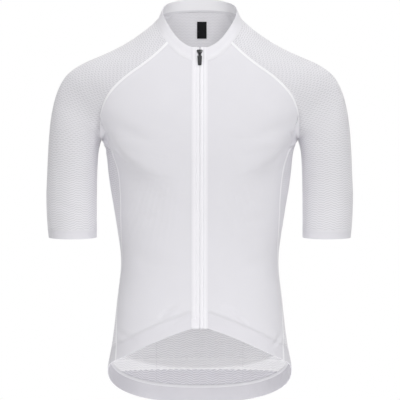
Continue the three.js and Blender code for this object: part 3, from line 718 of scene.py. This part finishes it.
def openings(paint, across, up, row=MESH_ROW, cell=MESH_CELL):
    """1 on the threads, 0 in the middle of an opening. Lines low down turn to dashes higher up."""
    dashes = up.between(60, 190)
    level = (up + zigzag(across, 33, 2.4) * (1 - dashes * 0.7) + zigzag(across, 9, 0.6)) / row
    shift = (level.whole() * 0.5).part()
    x = (across / cell + shift).part() * 2.0 - 1.0
    y = level.part() * 2.0 - 1.0
    line, bridge = y.absolute().between(0.15, 0.85), x.absolute().between(0.45, 0.9) * (dashes * 0.6 + 0.25)
    return line.maths("MAXIMUM", line, bridge)


def mesh_cloth(name, colour, shade):
    paint = Paint(name)
    across, up = paint.cut()
    height = openings(paint, across, up) * 0.95 + knit_height(paint, across, up) * 0.05
    # Painted shade: from 130 mm up the panel the colour is darker, which tones down the upper sleeves towards the
    # shoulders, where the light from above falls strongest; on the back it darkens the cloth at the same height above
    # its lowest row.
    height = height - up.between(130, 300) * 0.2
    return cloth_finish(paint, height, colour, shade, 0.12 * MM, 0.85, 0.7)


MESH = mesh_cloth("mesh_cloth", (0.86, 0.85, 0.89, 1), (0.67, 0.66, 0.70, 1))
MESH_INSIDE = mesh_cloth("mesh_cloth_inside", WHITE, (0.68, 0.672, 0.71, 1))

# %% [markdown]
# The inside of the back shows above the collar and under the front hem. Near the neck it has fine wavy
# lines. Lower down the stitching of the pockets comes through: a light band along their lower seam, two
# upright lines between them, and below the seam a darker stretch of zigzag rows.

# %% The inside of the back
POCKET_SEAM = (-646, -628)  # from and to, in millimetres
POCKET_LINES = (-82, 82)


def back_inside():
    paint = Paint("mesh_cloth_back_inside")
    across, up = paint.cut()
    place = paint.node("TexCoord", out=3)
    split = paint.node("SeparateXYZ", None, place)
    x, z = split * 1000.0, Socket(paint, split.socket.node.outputs[2]) * 1000.0
    lines = ((up + zigzag(across, 9, 0.6)) * (2 * math.pi / 3.1)).sine() * 0.3 + 0.4
    low = (z * -1.0).between(430, 480)
    pattern = lines * (1 - low) + openings(paint, across, up, 4.2, 6.2) * low
    seam = z.between(POCKET_SEAM[0] - 1, POCKET_SEAM[0] + 1) * (1 - z.between(POCKET_SEAM[1] - 1, POCKET_SEAM[1] + 1))
    pattern = pattern.maths("MAXIMUM", pattern, seam * 0.45)
    for edge in POCKET_SEAM:
        pattern = pattern.maths("MAXIMUM", pattern, 1 - (z - edge).absolute().between(0.6, 1.5))
    below = 1 - (z + zigzag(across, 12, 1.0)).between(POCKET_SEAM[0] - 3, POCKET_SEAM[0] - 1)
    stitches = 0.0
    for line in POCKET_LINES:
        stitches = (1 - (x - line).absolute().between(0.5, 1.3)) * (z * -1.0).between(500, 510) + stitches
    # Painted light and shade: the very pale colour brightens the inside of the back, which the front panels shade, and
    # the darker stretch below the pocket seam is partly the real zigzag rows, partly painted shade.
    height = pattern * 0.55 + 0.45 - below * 0.6 - stitches * 0.2
    return cloth_finish(paint, height, (0.95, 0.94, 0.97, 1), (0.56, 0.55, 0.595, 1), 0.4 * MM, 0.9, 0.55)


BACK_INSIDE = back_inside()

# %% [markdown]
# The hem, the cuffs and the collar are a dense elastic knit with fine ribs along the band.

# %% Band cloth
BAND_RIB = 1.3


def band_cloth(name, colour, shade, foot=0.0, sides=0.0):
    """Fine ribs along the band. It may have a painted highlight along its foot, and painted shade where it turns to the
    sides.
    """
    paint = Paint(name)
    across, up = paint.cut()
    rib = (up * (math.pi / BAND_RIB)).sine().absolute()
    stitch = ((across * (2 * math.pi / 1.1)).sine() * 0.5 + 0.5) * 0.25
    x = paint.node("SeparateXYZ", None, paint.node("TexCoord", out=3)) * 1000.0
    # foot is a painted highlight along the band's lower edge; sides is painted shade, darker from 85 mm out from the
    # middle
    height = rib * 0.75 + stitch + (1 - up.between(5, 12)) * foot - x.absolute().between(85, 155) * sides
    return cloth_finish(paint, height, colour, shade, 0.08 * MM, 0.35, 0.2)


# The collar's paler foot is a painted highlight along its lower edge.
COLLAR = band_cloth("collar_cloth", (0.88, 0.87, 0.91, 1), (0.79, 0.78, 0.82, 1), foot=0.8)
# Painted light: the inside of the collar is drawn nearly white, paler than its outside, to brighten it where it lies in
# the neck's shade.
COLLAR_INSIDE = band_cloth("collar_cloth_inside", (0.97, 0.965, 0.985, 1), (0.92, 0.91, 0.95, 1))
BAND = band_cloth("band_cloth", (0.765, 0.755, 0.795, 1), (0.715, 0.705, 0.745, 1))
# Painted light: the seam strip over the band's joint is a little paler than the band, to even out the shadow line along
# it.
BAND_SEAM = band_cloth("band_seam", (0.79, 0.78, 0.82, 1), (0.76, 0.75, 0.79, 1))
# Painted shade: the inside of the hem and cuffs is darker than the band outside, and darker still from 85 mm out from
# the middle, so at the hem's sides and all round the cuffs.
BAND_INSIDE = band_cloth("band_cloth_inside", (0.76, 0.75, 0.79, 1), (0.62, 0.61, 0.65, 1), sides=1.4)

# %% [markdown]
# The seams are flat-locked: the two edges meet and a zigzag of thread lies over them, raised and a little
# whiter than the cloth. Inside, the edges are overlocked. The thread is drawn on the strip's own map, which
# runs along the seam and, for "up", across it.

# %% Seam thread
STITCH = 2.2  # length of one stitch, in millimetres


def seam_thread(name, colour, shade, half):
    paint = Paint(name)
    along, cross = paint.cut()
    thread = ((along + cross.absolute() * 0.9) * (2 * math.pi / STITCH)).sine() * 0.5 + 0.5
    needle = (cross.absolute() - half * 0.72).absolute().between(0.15, 0.45)
    dots = (along / STITCH).part().between(0.2, 0.5).maths("MAXIMUM", (along / STITCH).part().between(0.2, 0.5), needle)
    return cloth_finish(paint, thread * 0.45 + dots * 0.55, colour, shade, 0.2 * MM, 0.8, 0.05)


THREAD = (0.97, 0.965, 0.985, 1)
FLATLOCK = seam_thread("flatlock_thread", THREAD, (0.86, 0.85, 0.89, 1), 2.2)
NARROW = seam_thread("narrow_seam", THREAD, (0.90, 0.89, 0.93, 1), 1.8)
OVERLOCK = seam_thread("overlock_thread", (0.86, 0.855, 0.885, 1), (0.70, 0.69, 0.73, 1), 2.6)
print("cloth finishes:", [m.name for m in (BODY, MESH, BAND, FLATLOCK, NARROW, OVERLOCK)])

# %% [markdown]
# A seam strip lies half on one panel and half on the other. For each panel, lines of points start on the
# edge and run into the cloth. Points at the same distances from the edge on both sides give the strip's
# cross-section, and a crown lifts its middle. Its two borders lie close on the cloth, a third as high.

# %% Seam strips
SEAMS = {}


def edge_lines(name, edge, rows=slice(None), reach=16):
    """For each point of a panel's edge, the line of points from there into the panel."""
    grid = CLOTH[name]
    if edge in ("first", "last"):
        lines = grid[rows] if edge == "first" else grid[rows, ::-1]
    else:
        lines = (grid if edge == "bottom" else grid[::-1]).swapaxes(0, 1)[rows]
    return lines[:, :reach]


def at_distances(lines, distances):
    """Points at these distances from the edge, square to it."""
    lengths = np.linalg.norm(np.diff(lines, axis=1), axis=2).cumsum(1)
    lengths = np.concatenate([np.zeros((len(lines), 1)), lengths], axis=1)
    edge, heading = np.gradient(lines[:, 0], axis=0), lines[:, 1] - lines[:, 0]
    slant = np.linalg.norm(np.cross(edge, heading), axis=1)
    slant /= np.maximum(np.linalg.norm(edge, axis=1) * np.linalg.norm(heading, axis=1), 1e-12)
    reach = np.asarray(distances) / np.maximum(slant, 0.4)[:, None]
    return np.array(
        [[[np.interp(r, l, line[:, k]) for k in range(3)] for r in far] for far, l, line in zip(reach, lengths, lines)]
    )


def spread(lines, shares):
    """The same lines, taken at other shares of the way along the edge."""
    way = np.linalg.norm(np.diff(lines[:, 0], axis=0), axis=1).cumsum()
    way = np.concatenate([[0], way]) / way[-1]
    index = np.interp(shares, way, np.arange(len(lines)))
    low = np.minimum(index.astype(int), len(lines) - 2)
    part = (index - low)[:, None, None]
    return lines[low] * (1 - part) + lines[low + 1] * part


def seam_strip(name, first, second, half, crown, finish, panel, closed=False, inside=0.0, centre=(0, 0, -0.3)):
    """A strip over the joint of two edges. `inside` is the wall of the cloth when the strip lies within it."""
    way = np.linalg.norm(np.diff(first[:, 0], axis=0), axis=1).cumsum()
    second = spread(second, np.concatenate([[0], way]) / way[-1])
    steps = np.array([0, 0.45, 0.8, 1.0]) * half * MM
    near, far = at_distances(first, steps[::-1]), at_distances(second, steps)
    near[:, -1] = (near[:, -1] + far[:, 0]) / 2
    grid = np.concatenate([near, far[:, 1:]], axis=1).swapaxes(0, 1)
    rings = len(grid) if closed else 0
    square = grid_normals(grid, rings)
    if (square * (grid - np.array(centre))).sum() < 0:
        grid, square = grid[::-1], -square[::-1]
    profile = np.array([0.3, 0.85, 1, 1, 1, 0.85, 0.3])[:, None, None] * crown * MM
    wall = 0.4 * MM
    lift = profile if not inside else -profile - inside * MM + wall
    grid = grid + square * lift
    mapping = cut_map(grid) - np.array([0, half * MM])
    piece = sheet_mesh(name, grid, rings, mapping)
    piece.data.materials.append(finish)
    thicken(piece, wall)
    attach(piece, "jersey")
    SEAMS.setdefault(panel, []).append(piece)
    return piece


ARM_ROWS = ARMPIT["sleeve_left"] * STEPS["sleeve"][1]
PIT_ROW = ARMPIT["back"] * STEPS["back"][1]
RAGLAN, SIDE_SEAM = slice(PIT_ROW, None), slice(0, PIT_ROW + 1)
TOPS = [("front_left", 1), ("sleeve_left", 1), ("back", 1), ("sleeve_right", 1), ("front_right", 1)]
for side, front_edge, back_edge, sleeve_front, sleeve_back in (
    ("left", "last", "first", "first", "last"),
    ("right", "first", "last", "last", "first"),
):
    front, sleeve, hand = "front_" + side, "sleeve_" + side, 1 if side == "left" else -1
    upper = slice(ARM_ROWS, None)
    for face, panel, edge, sleeve_edge in (
        ("front", front, front_edge, sleeve_front), ("back", "back", back_edge, sleeve_back)
    ):
        a, b = edge_lines(panel, edge, RAGLAN), edge_lines(sleeve, sleeve_edge, upper)
        seam_strip(f"raglan_seam_{face}_{side}", a, b, 2.2, 0.5, FLATLOCK, sleeve, centre=(0, 0, -0.2))
        seam_strip(f"raglan_overlock_{face}_{side}", a, b, 2.6, 0.3, OVERLOCK, sleeve, inside=0.9, centre=(0, 0, -0.2))
    a, b = edge_lines(front, front_edge, SIDE_SEAM), edge_lines("back", back_edge, SIDE_SEAM)
    seam_strip("side_seam_" + side, a, b, 1.8, 0.5, NARROW, front)
    seam_strip("side_overlock_" + side, a, b, 2.6, 0.3, OVERLOCK, front, inside=0.9)
    arm = (hand * 0.235, -0.005, -0.38)
    a, b = edge_lines("cuff_" + side, "top"), edge_lines(sleeve, "bottom")
    seam_strip("cuff_seam_" + side, a, b, 1.5, 0.1, BAND_SEAM, "cuff_" + side, closed=True, centre=arm)
    hem = "hem_front_" + side
    a, b = edge_lines(hem, "top"), edge_lines(front, "bottom")
    seam_strip("hem_seam_front_" + side, a, b, 1.5, 0.1, BAND_SEAM, hem)
    seam_strip("hem_overlock_front_" + side, a, b, 2.6, 0.3, OVERLOCK, hem, inside=0.95)
    a = edge_lines(hem, front_edge)
    b = edge_lines("hem_back", back_edge)
    seam_strip("hem_side_seam_" + side, a, b, 1.8, 0.4, NARROW, hem)

a, b = edge_lines("hem_back", "top"), edge_lines("back", "bottom")
seam_strip("hem_seam_back", a, b, 1.5, 0.1, BAND_SEAM, "hem_back")
seam_strip("hem_overlock_back", a, b, 2.7, 0.35, OVERLOCK, "hem_back", inside=0.95)


def neck_lines():
    """The lines into the panels from the neck edge, in the order in which the collar's lowest row runs."""
    stretches = [edge_lines(name, "top") for name, _ in TOPS]
    line = stretches[0]
    if np.linalg.norm(line[-1, 0] - stretches[1][0, 0]) > np.linalg.norm(line[0, 0] - stretches[1][0, 0]):
        line = line[::-1]
    for stretch in stretches[1:]:
        gap = [np.linalg.norm(line[-1, 0] - stretch[k, 0]) for k in (0, -1)]
        stretch = stretch if gap[0] < gap[1] else stretch[::-1]
        line = np.concatenate([line, stretch[1:]])
    return line


neck, foot = neck_lines(), edge_lines("collar", "bottom")
if np.linalg.norm(neck[0, 0] - foot[0, 0]) > np.linalg.norm(neck[0, 0] - foot[-1, 0]):
    neck = neck[::-1]
foot = foot[:, :8]
seam_strip("collar_seam", foot, neck, 1.5, 0.2, COLLAR, "collar", centre=(0, 0, -0.05))
seam_strip("collar_overlock", foot, neck, 2.2, 0.3, OVERLOCK, "collar", inside=0.95, centre=(0, 0, -0.05))
print({panel: [s.name for s in strips] for panel, strips in SEAMS.items()})

# %% [markdown]
# Now the panels themselves. Each stands for its CAD wall, is a millimetre thick or less, and hangs from the
# shoulders with the rest of the jersey.

# %% The panels
WALLS = {"front": 0.9, "back": 0.9, "sleeve": 0.8, "collar": 1.1, "hem": 1.1, "pocket": 0.9, "cuff": 1.1}
FINISH = {
    "front": (BODY, BODY_INSIDE, "body_cloth", "draped"),
    "back": (MESH, BACK_INSIDE, "mesh_cloth", "draped"),
    "sleeve": (MESH, MESH_INSIDE, "mesh_cloth", "draped"),
    "collar": (COLLAR, COLLAR_INSIDE, "band_cloth", "stretched"),
    "hem": (BAND, BAND_INSIDE, "band_cloth", "stretched"),
    "pocket": (POCKET, POCKET, "body_cloth", "draped"),
    "cuff": (BAND, BAND_INSIDE, "band_cloth", "stretched"),
}
NEIGHBOUR = {"front": "collar", "back": "collar", "sleeve": "back", "collar": "back", "hem": "back",
             "pocket": "back", "cuff": "sleeve_left"}


def make_panel(name):
    kind = name.split("_")[0]
    outside, inside, slot, held = FINISH[kind]
    grid = CLOTH[name]
    rings = len(grid) if kind == "cuff" else ARMPIT[name] * STEPS["sleeve"][1] + 1 if kind == "sleeve" else 0
    piece = sheet_mesh(name + "_cloth", grid, rings)
    piece.data.materials.append(outside)
    piece.data.materials.append(inside)
    thicken(piece, WALLS[kind] * MM, second=1)
    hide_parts(name)
    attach(piece, "jersey")
    neighbour = NEIGHBOUR[kind] if kind != "cuff" else name.replace("cuff", "sleeve")
    declare_sheet(grid)
    return piece


for name in CLOTH:
    piece = make_panel(name)
    print(name, len(piece.data.polygons) * 2, "triangles")

# %% [markdown]
# The tops of the pockets are bound with a soft elastic that grips the edge. It is a strip on the panel's own
# points along the top row, standing out from it and thick enough to hold the cloth inside it. The lower edges are sewn
# to the back with a flat row of thread, which is the same strip, narrower. Between two pockets runs a seam.


# %% Pocket bindings and seams
def edge_strip(name, edge, distances, heights, wall, finish, word):
    """A strip along one edge of a pocket, standing out by these heights at these distances from it."""
    lines = edge_lines(name, edge, reach=14)
    grid = at_distances(lines, np.array(distances) * MM).swapaxes(0, 1)[::-1]
    square = grid_normals(grid)
    if square[..., 1].sum() < 0:
        square = -square
    grid = grid + square * (np.array(heights)[::-1, None, None] * MM)
    if np.cross(np.gradient(grid, axis=1), np.gradient(grid, axis=0))[..., 1].sum() < 0:
        grid = grid[:, ::-1]
    strip = sheet_mesh(f"{name}_{word}", grid)
    strip.data.materials.append(finish)
    thicken(strip, wall * MM)
    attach(strip, "jersey")
    print(strip.name, len(strip.data.polygons))


# The bindings take the collar's finish, whose painted highlight along its foot pales most of each binding.
for name in ("pocket_left", "pocket_centre", "pocket_right"):
    edge_strip(name, "top", [0, 1.2, 3.4, 5.8, 7.0], [0.2, 0.55, 0.6, 0.5, -0.1], 1.3, COLLAR, "binding")
    edge_strip(name, "bottom", [0, 0.7, 1.8, 2.9, 3.6], [0.1, 0.4, 0.45, 0.4, 0.1], 0.4, NARROW, "hem_thread")
for name, neighbour in (("pocket_left", "pocket_centre"), ("pocket_centre", "pocket_right")):
    a, b = edge_lines(name, "last"), edge_lines(neighbour, "first")
    print(name, "to", neighbour, round(float(np.linalg.norm(a[:, 0] - b[:, 0], axis=1).mean()) * 1000, 2), "mm apart")
    seam_strip(name + "_seam", a, b, 1.8, 0.5, NARROW, name, centre=(0, 0, -0.55))

# %% [markdown]
# The zip is of the hidden kind: its coil of teeth is sewn to the inside, so that from the front only the
# two tapes show, which meet in a thin groove. Each tape's cross-section is drawn from the middle outwards:
# a rounded lip, a soft crown, a groove, the stitched fold of the front's edge, and a flat border that dips
# into the front panel. The same section runs from the hem to the top of the collar.

# %% The zip's tapes
TAPE_SECTION = [  # distance from the middle, and how far the tape stands out there, in millimetres
    (0.55, -1.05), (0.8, -0.40), (1.4, 0.15), (2.6, 0.50), (4.2, 0.40), (5.5, -0.05), (6.4, -0.70),
    (7.1, -0.25), (7.9, 0.50), (9.0, 0.62), (10.3, 0.22), (12.0, 0.14), (13.9, 0.16), (15.0, 0.04), (15.7, -0.25),
]
TAPE_WALL = 0.7
PARTING = -57  # above this level the tapes part


def tape_cloth(name, colour, shade):
    """Woven tape in the middle, knitted facing outside, with a row of stitches along the fold."""
    paint = Paint(name)
    across, up = paint.cut()
    weave = ((up * (2 * math.pi / 0.8)).sine() * (across * (2 * math.pi / 0.8)).sine()) * 0.5 + 0.5
    stitch = 1 - (up / 2.4).part().between(0.15, 0.3) * (1 - (across.absolute() - 6.9).absolute().between(0.2, 0.6))
    border = across.absolute().between(9.0, 15.0) * 0.5
    return cloth_finish(paint, weave * 0.3 + stitch * 0.7 - border, colour, shade, 0.08 * MM, 0.8, 0.1)


TAPE = tape_cloth("zip_tape", (0.95, 0.94, 0.975, 1), (0.74, 0.73, 0.77, 1))


def zip_rows(side):
    """Lines into the cloth from the zip's edge, from the lowest point of the hem to the collar's top."""
    edge = "first" if side == "left" else "last"
    lines = [edge_lines("hem_front_" + side, edge, reach=4)[:-1], edge_lines("front_" + side, edge, reach=4)]
    collar = [edge_lines("collar", e, reach=4) for e in ("first", "last")]
    collar = [c for c in collar if (c[0, 0, 0] > 0) == (side == "left")][0]
    return np.concatenate([*lines, collar[1:]])


for side, hand in (("left", 1), ("right", -1)):
    rows = zip_rows(side)
    section = np.array(TAPE_SECTION) * MM
    grid = np.zeros((len(rows), len(section), 3))
    for i, row in enumerate(rows):
        y = np.interp(section[:, 0], np.abs(row[:, 0]), row[:, 1])
        apart = max(0.0, row[0, 2] / MM - PARTING) * 0.14 * MM
        inner = np.clip(1 - section[:, 0] / (7 * MM), 0, 1)
        grid[i, :, 0] = hand * (section[:, 0] + apart * inner)
        grid[i, :, 1] = y - section[:, 1]
        grid[i, :, 2] = row[0, 2]
    mapping = cut_map(grid)
    mapping[..., 0] = section[:, 0]
    if hand < 0:
        grid, mapping = grid[:, ::-1], mapping[:, ::-1]
    tape = sheet_mesh(f"zip_tape_{side}_cloth", grid, mapping=mapping)
    tape.data.materials.append(TAPE)
    thicken(tape, TAPE_WALL * MM)
    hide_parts("zip_tape_" + side)
    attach(tape, "jersey")
    declare_sheet(grid)

ZIP_LINE = zip_rows("left")[:, 0]

# %% [markdown]
# The teeth of a coil zip are the turns of one nylon thread. Each is a small rounded bar that reaches over
# the middle, and the two sides take turns. One tooth is modelled as by hand, from a cube with rounded
# edges, and its points are then copied along the zip's line at every turn.

# %% The zip's teeth
TOOTH_PITCH = 1.9  # from one tooth to the next on one side, in millimetres
TOOTH = (3.0, 1.0, 0.85)

bpy.ops.object.select_all(action="DESELECT")
bpy.ops.mesh.primitive_cube_add(size=1)
tooth = bpy.context.object
bpy.ops.object.mode_set(mode="EDIT")
bpy.ops.transform.resize(value=[t * MM for t in TOOTH])
bpy.ops.mesh.bevel(offset=0.25 * MM, segments=1)
bpy.ops.object.mode_set(mode="OBJECT")
tooth_points = np.array([v.co[:] for v in tooth.data.vertices])
tooth_faces = [list(f.vertices) for f in tooth.data.polygons]
bpy.data.objects.remove(tooth)

levels = np.arange(-555, -62, TOOTH_PITCH / 2) * MM
points, faces = [], []
for i, level in enumerate(levels):
    y = np.interp(level, ZIP_LINE[:, 2], ZIP_LINE[:, 1])
    hand = 1 if i % 2 else -1
    faces += [[p + len(tooth_points) * i for p in face] for face in tooth_faces]
    points.append(tooth_points + np.array([hand * 0.75 * MM, y + 1.15 * MM, level]))
mesh = bpy.data.meshes.new("zip_teeth_coil")
mesh.from_pydata(np.concatenate(points).tolist(), [], faces)
teeth = bpy.data.objects.new("zip_teeth_coil", mesh)
bpy.context.scene.collection.objects.link(teeth)
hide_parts("zip_chain")
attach(teeth, "jersey")
print("teeth:", len(levels), "faces:", len(mesh.polygons))

# %% [markdown]
# Hard pieces get a finish of their own: nylon, lacquered metal, soft rubber and a satin ribbon. Each has a
# fine grain that changes its colour, its roughness and its surface a little.

# %% The finishes of the small pieces


def plain_finish(name, colour, shade, roughness, scale, **more):
    paint = Paint(name)
    place = paint.node("TexCoord", out=3)
    speck = paint.noise(place, scale, 3.0)
    return paint.finish(
        Base_Color=paint.mix(speck, shade, colour), Roughness=speck * 0.15 + roughness,
        Normal=paint.bump(speck, 0.05 * MM, 0.3), **more,
    )


TEETH = plain_finish("zip_teeth", (0.86, 0.853, 0.88, 1), (0.80, 0.793, 0.82, 1), 0.35, 600.0)
METAL = plain_finish("slider_metal", (0.014, 0.014, 0.016, 1), (0.008, 0.008, 0.01, 1), 0.3, 400.0, Coat_Weight=0.3)
RUBBER = plain_finish("pull_rubber", (0.036, 0.036, 0.04, 1), (0.022, 0.022, 0.025, 1), 0.55, 700.0)
teeth.data.materials.append(TEETH)


def satin_ribbon(name, colour, shade):
    """Black ribbon: close slanted ridges of a satin weave, and a plain border."""
    paint = Paint(name)
    place = paint.node("TexCoord", out=3)
    split = paint.node("SeparateXYZ", None, place)
    x, z = split * 1000.0, Socket(paint, split.socket.node.outputs[2]) * 1000.0
    ridge = ((x + z * 0.5) * (2 * math.pi / 0.7)).sine() * 0.5 + 0.5
    return paint.finish(
        Base_Color=paint.mix(ridge, shade, colour), Roughness=ridge * 0.1 + 0.42,
        Specular_IOR_Level=0.25, Normal=paint.bump(ridge, 0.05 * MM, 0.5),
    )


LABEL = satin_ribbon("label_ribbon", (0.008, 0.008, 0.009, 1), (0.004, 0.004, 0.005, 1))

# %% [markdown]
# The slider, its pull tab and the label have their right shapes in the CAD, but with knife-sharp edges. A
# copy of each is welded into clean faces, its edges are rounded with a bevel, and it then stands for the
# CAD piece. The slider's body is drawn in towards its lower end, where the teeth leave it closed.

# %% The slider, the pull tab and the label


def rounded_copy(node, name, material, body, radius, segments=2):
    mesh = nodes[node].data.copy()
    mesh.materials.clear()
    mesh.materials.append(material)
    piece = bpy.data.objects.new(name, mesh)
    bpy.context.scene.collection.objects.link(piece)
    bpy.ops.object.select_all(action="DESELECT")
    piece.select_set(True)
    bpy.context.view_layer.objects.active = piece
    bpy.ops.object.mode_set(mode="EDIT")
    bpy.ops.mesh.select_all(action="SELECT")
    bpy.ops.mesh.remove_doubles(threshold=0.01 * MM)
    bpy.ops.mesh.dissolve_limited(angle_limit=math.radians(4))
    bpy.ops.object.mode_set(mode="OBJECT")
    bevel = piece.modifiers.new("edges", "BEVEL")
    bevel.width, bevel.segments, bevel.limit_method = radius, segments, "ANGLE"
    bevel.angle_limit = math.radians(35)
    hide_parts(node)
    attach(piece, body)
    return piece


def round_edges(piece):
    bpy.ops.object.select_all(action="DESELECT")
    piece.select_set(True)
    bpy.context.view_layer.objects.active = piece
    bpy.ops.object.modifier_apply(modifier="edges")
    bpy.ops.object.shade_smooth_by_angle(angle=math.radians(35))
    print(piece.name, len(piece.data.polygons), "faces")


slider = rounded_copy("zip_slider", "slider", METAL, "jersey", 0.3 * MM)
low, high = (Vector(c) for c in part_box("zip_slider"))
for v in slider.data.vertices:
    share = (v.co.z - low.z) / (high.z - low.z)
    if abs(v.co.x) > 1.7 * MM and v.co.y < (low.y + high.y) / 2:
        v.co.x *= min(1.0, 0.3 + 1.1 * share)
round_edges(slider)
pull = rounded_copy("zip_pull", "pull", RUBBER, "pull_tab", 0.3 * MM)
round_edges(pull)
label = rounded_copy("neck_label", "label", LABEL, "jersey", 0.2 * MM)
round_edges(label)

# %% [markdown]
# At the hem the zip ends under a soft block: the band's edge, folded over the end of the tape and sewn
# down. It is a cube at its size, with its upright corners and then all its edges rounded.

# %% The end of the zip
END = {"x": (-15.6, -0.4), "z": (-557.2, -539.5), "wall": 1.5}

bpy.ops.object.select_all(action="DESELECT")
bpy.ops.mesh.primitive_cube_add(size=1)
block = bpy.context.object
block.name = "zip_end_block"
bpy.ops.object.mode_set(mode="EDIT")
size = (END["x"][1] - END["x"][0], END["wall"], END["z"][1] - END["z"][0])
bpy.ops.transform.resize(value=[s * MM for s in size])
bpy.ops.object.mode_set(mode="OBJECT")
shape = bmesh.new()
shape.from_mesh(block.data)
upright = [e for e in shape.edges if abs((e.verts[0].co - e.verts[1].co).y) > 1 * MM]
bmesh.ops.bevel(shape, geom=upright, offset=2.6 * MM, segments=5, affect="EDGES", profile=0.5)
rim = [e for e in shape.edges if e.is_manifold and e.calc_face_angle() > 1.2]
bmesh.ops.bevel(shape, geom=rim, offset=0.5 * MM, segments=3, affect="EDGES", profile=0.5)
middle = sum(END["z"]) / 2 * MM
y = [float(np.interp(level, ZIP_LINE[:, 2], ZIP_LINE[:, 1])) for level in (middle - 8 * MM, middle, middle + 8 * MM)]
slope = (y[2] - y[0]) / (16 * MM)
for v in shape.verts:
    v.co.y += y[1] + slope * v.co.z - 0.35 * MM
    v.co.x += sum(END["x"]) / 2 * MM
    v.co.z += middle
mapping = shape.loops.layers.uv.new("cut")
for face in shape.faces:
    for loop in face.loops:
        loop[mapping].uv = (loop.vert.co.x, loop.vert.co.z)
shape.to_mesh(block.data)
shape.free()
# The collar's finish: on this block's map its painted highlight along the foot covers the whole block.
block.data.materials.append(COLLAR)
bpy.ops.object.shade_smooth_by_angle(angle=math.radians(40))
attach(block, "jersey")
print(block.name, len(block.data.polygons), "faces")
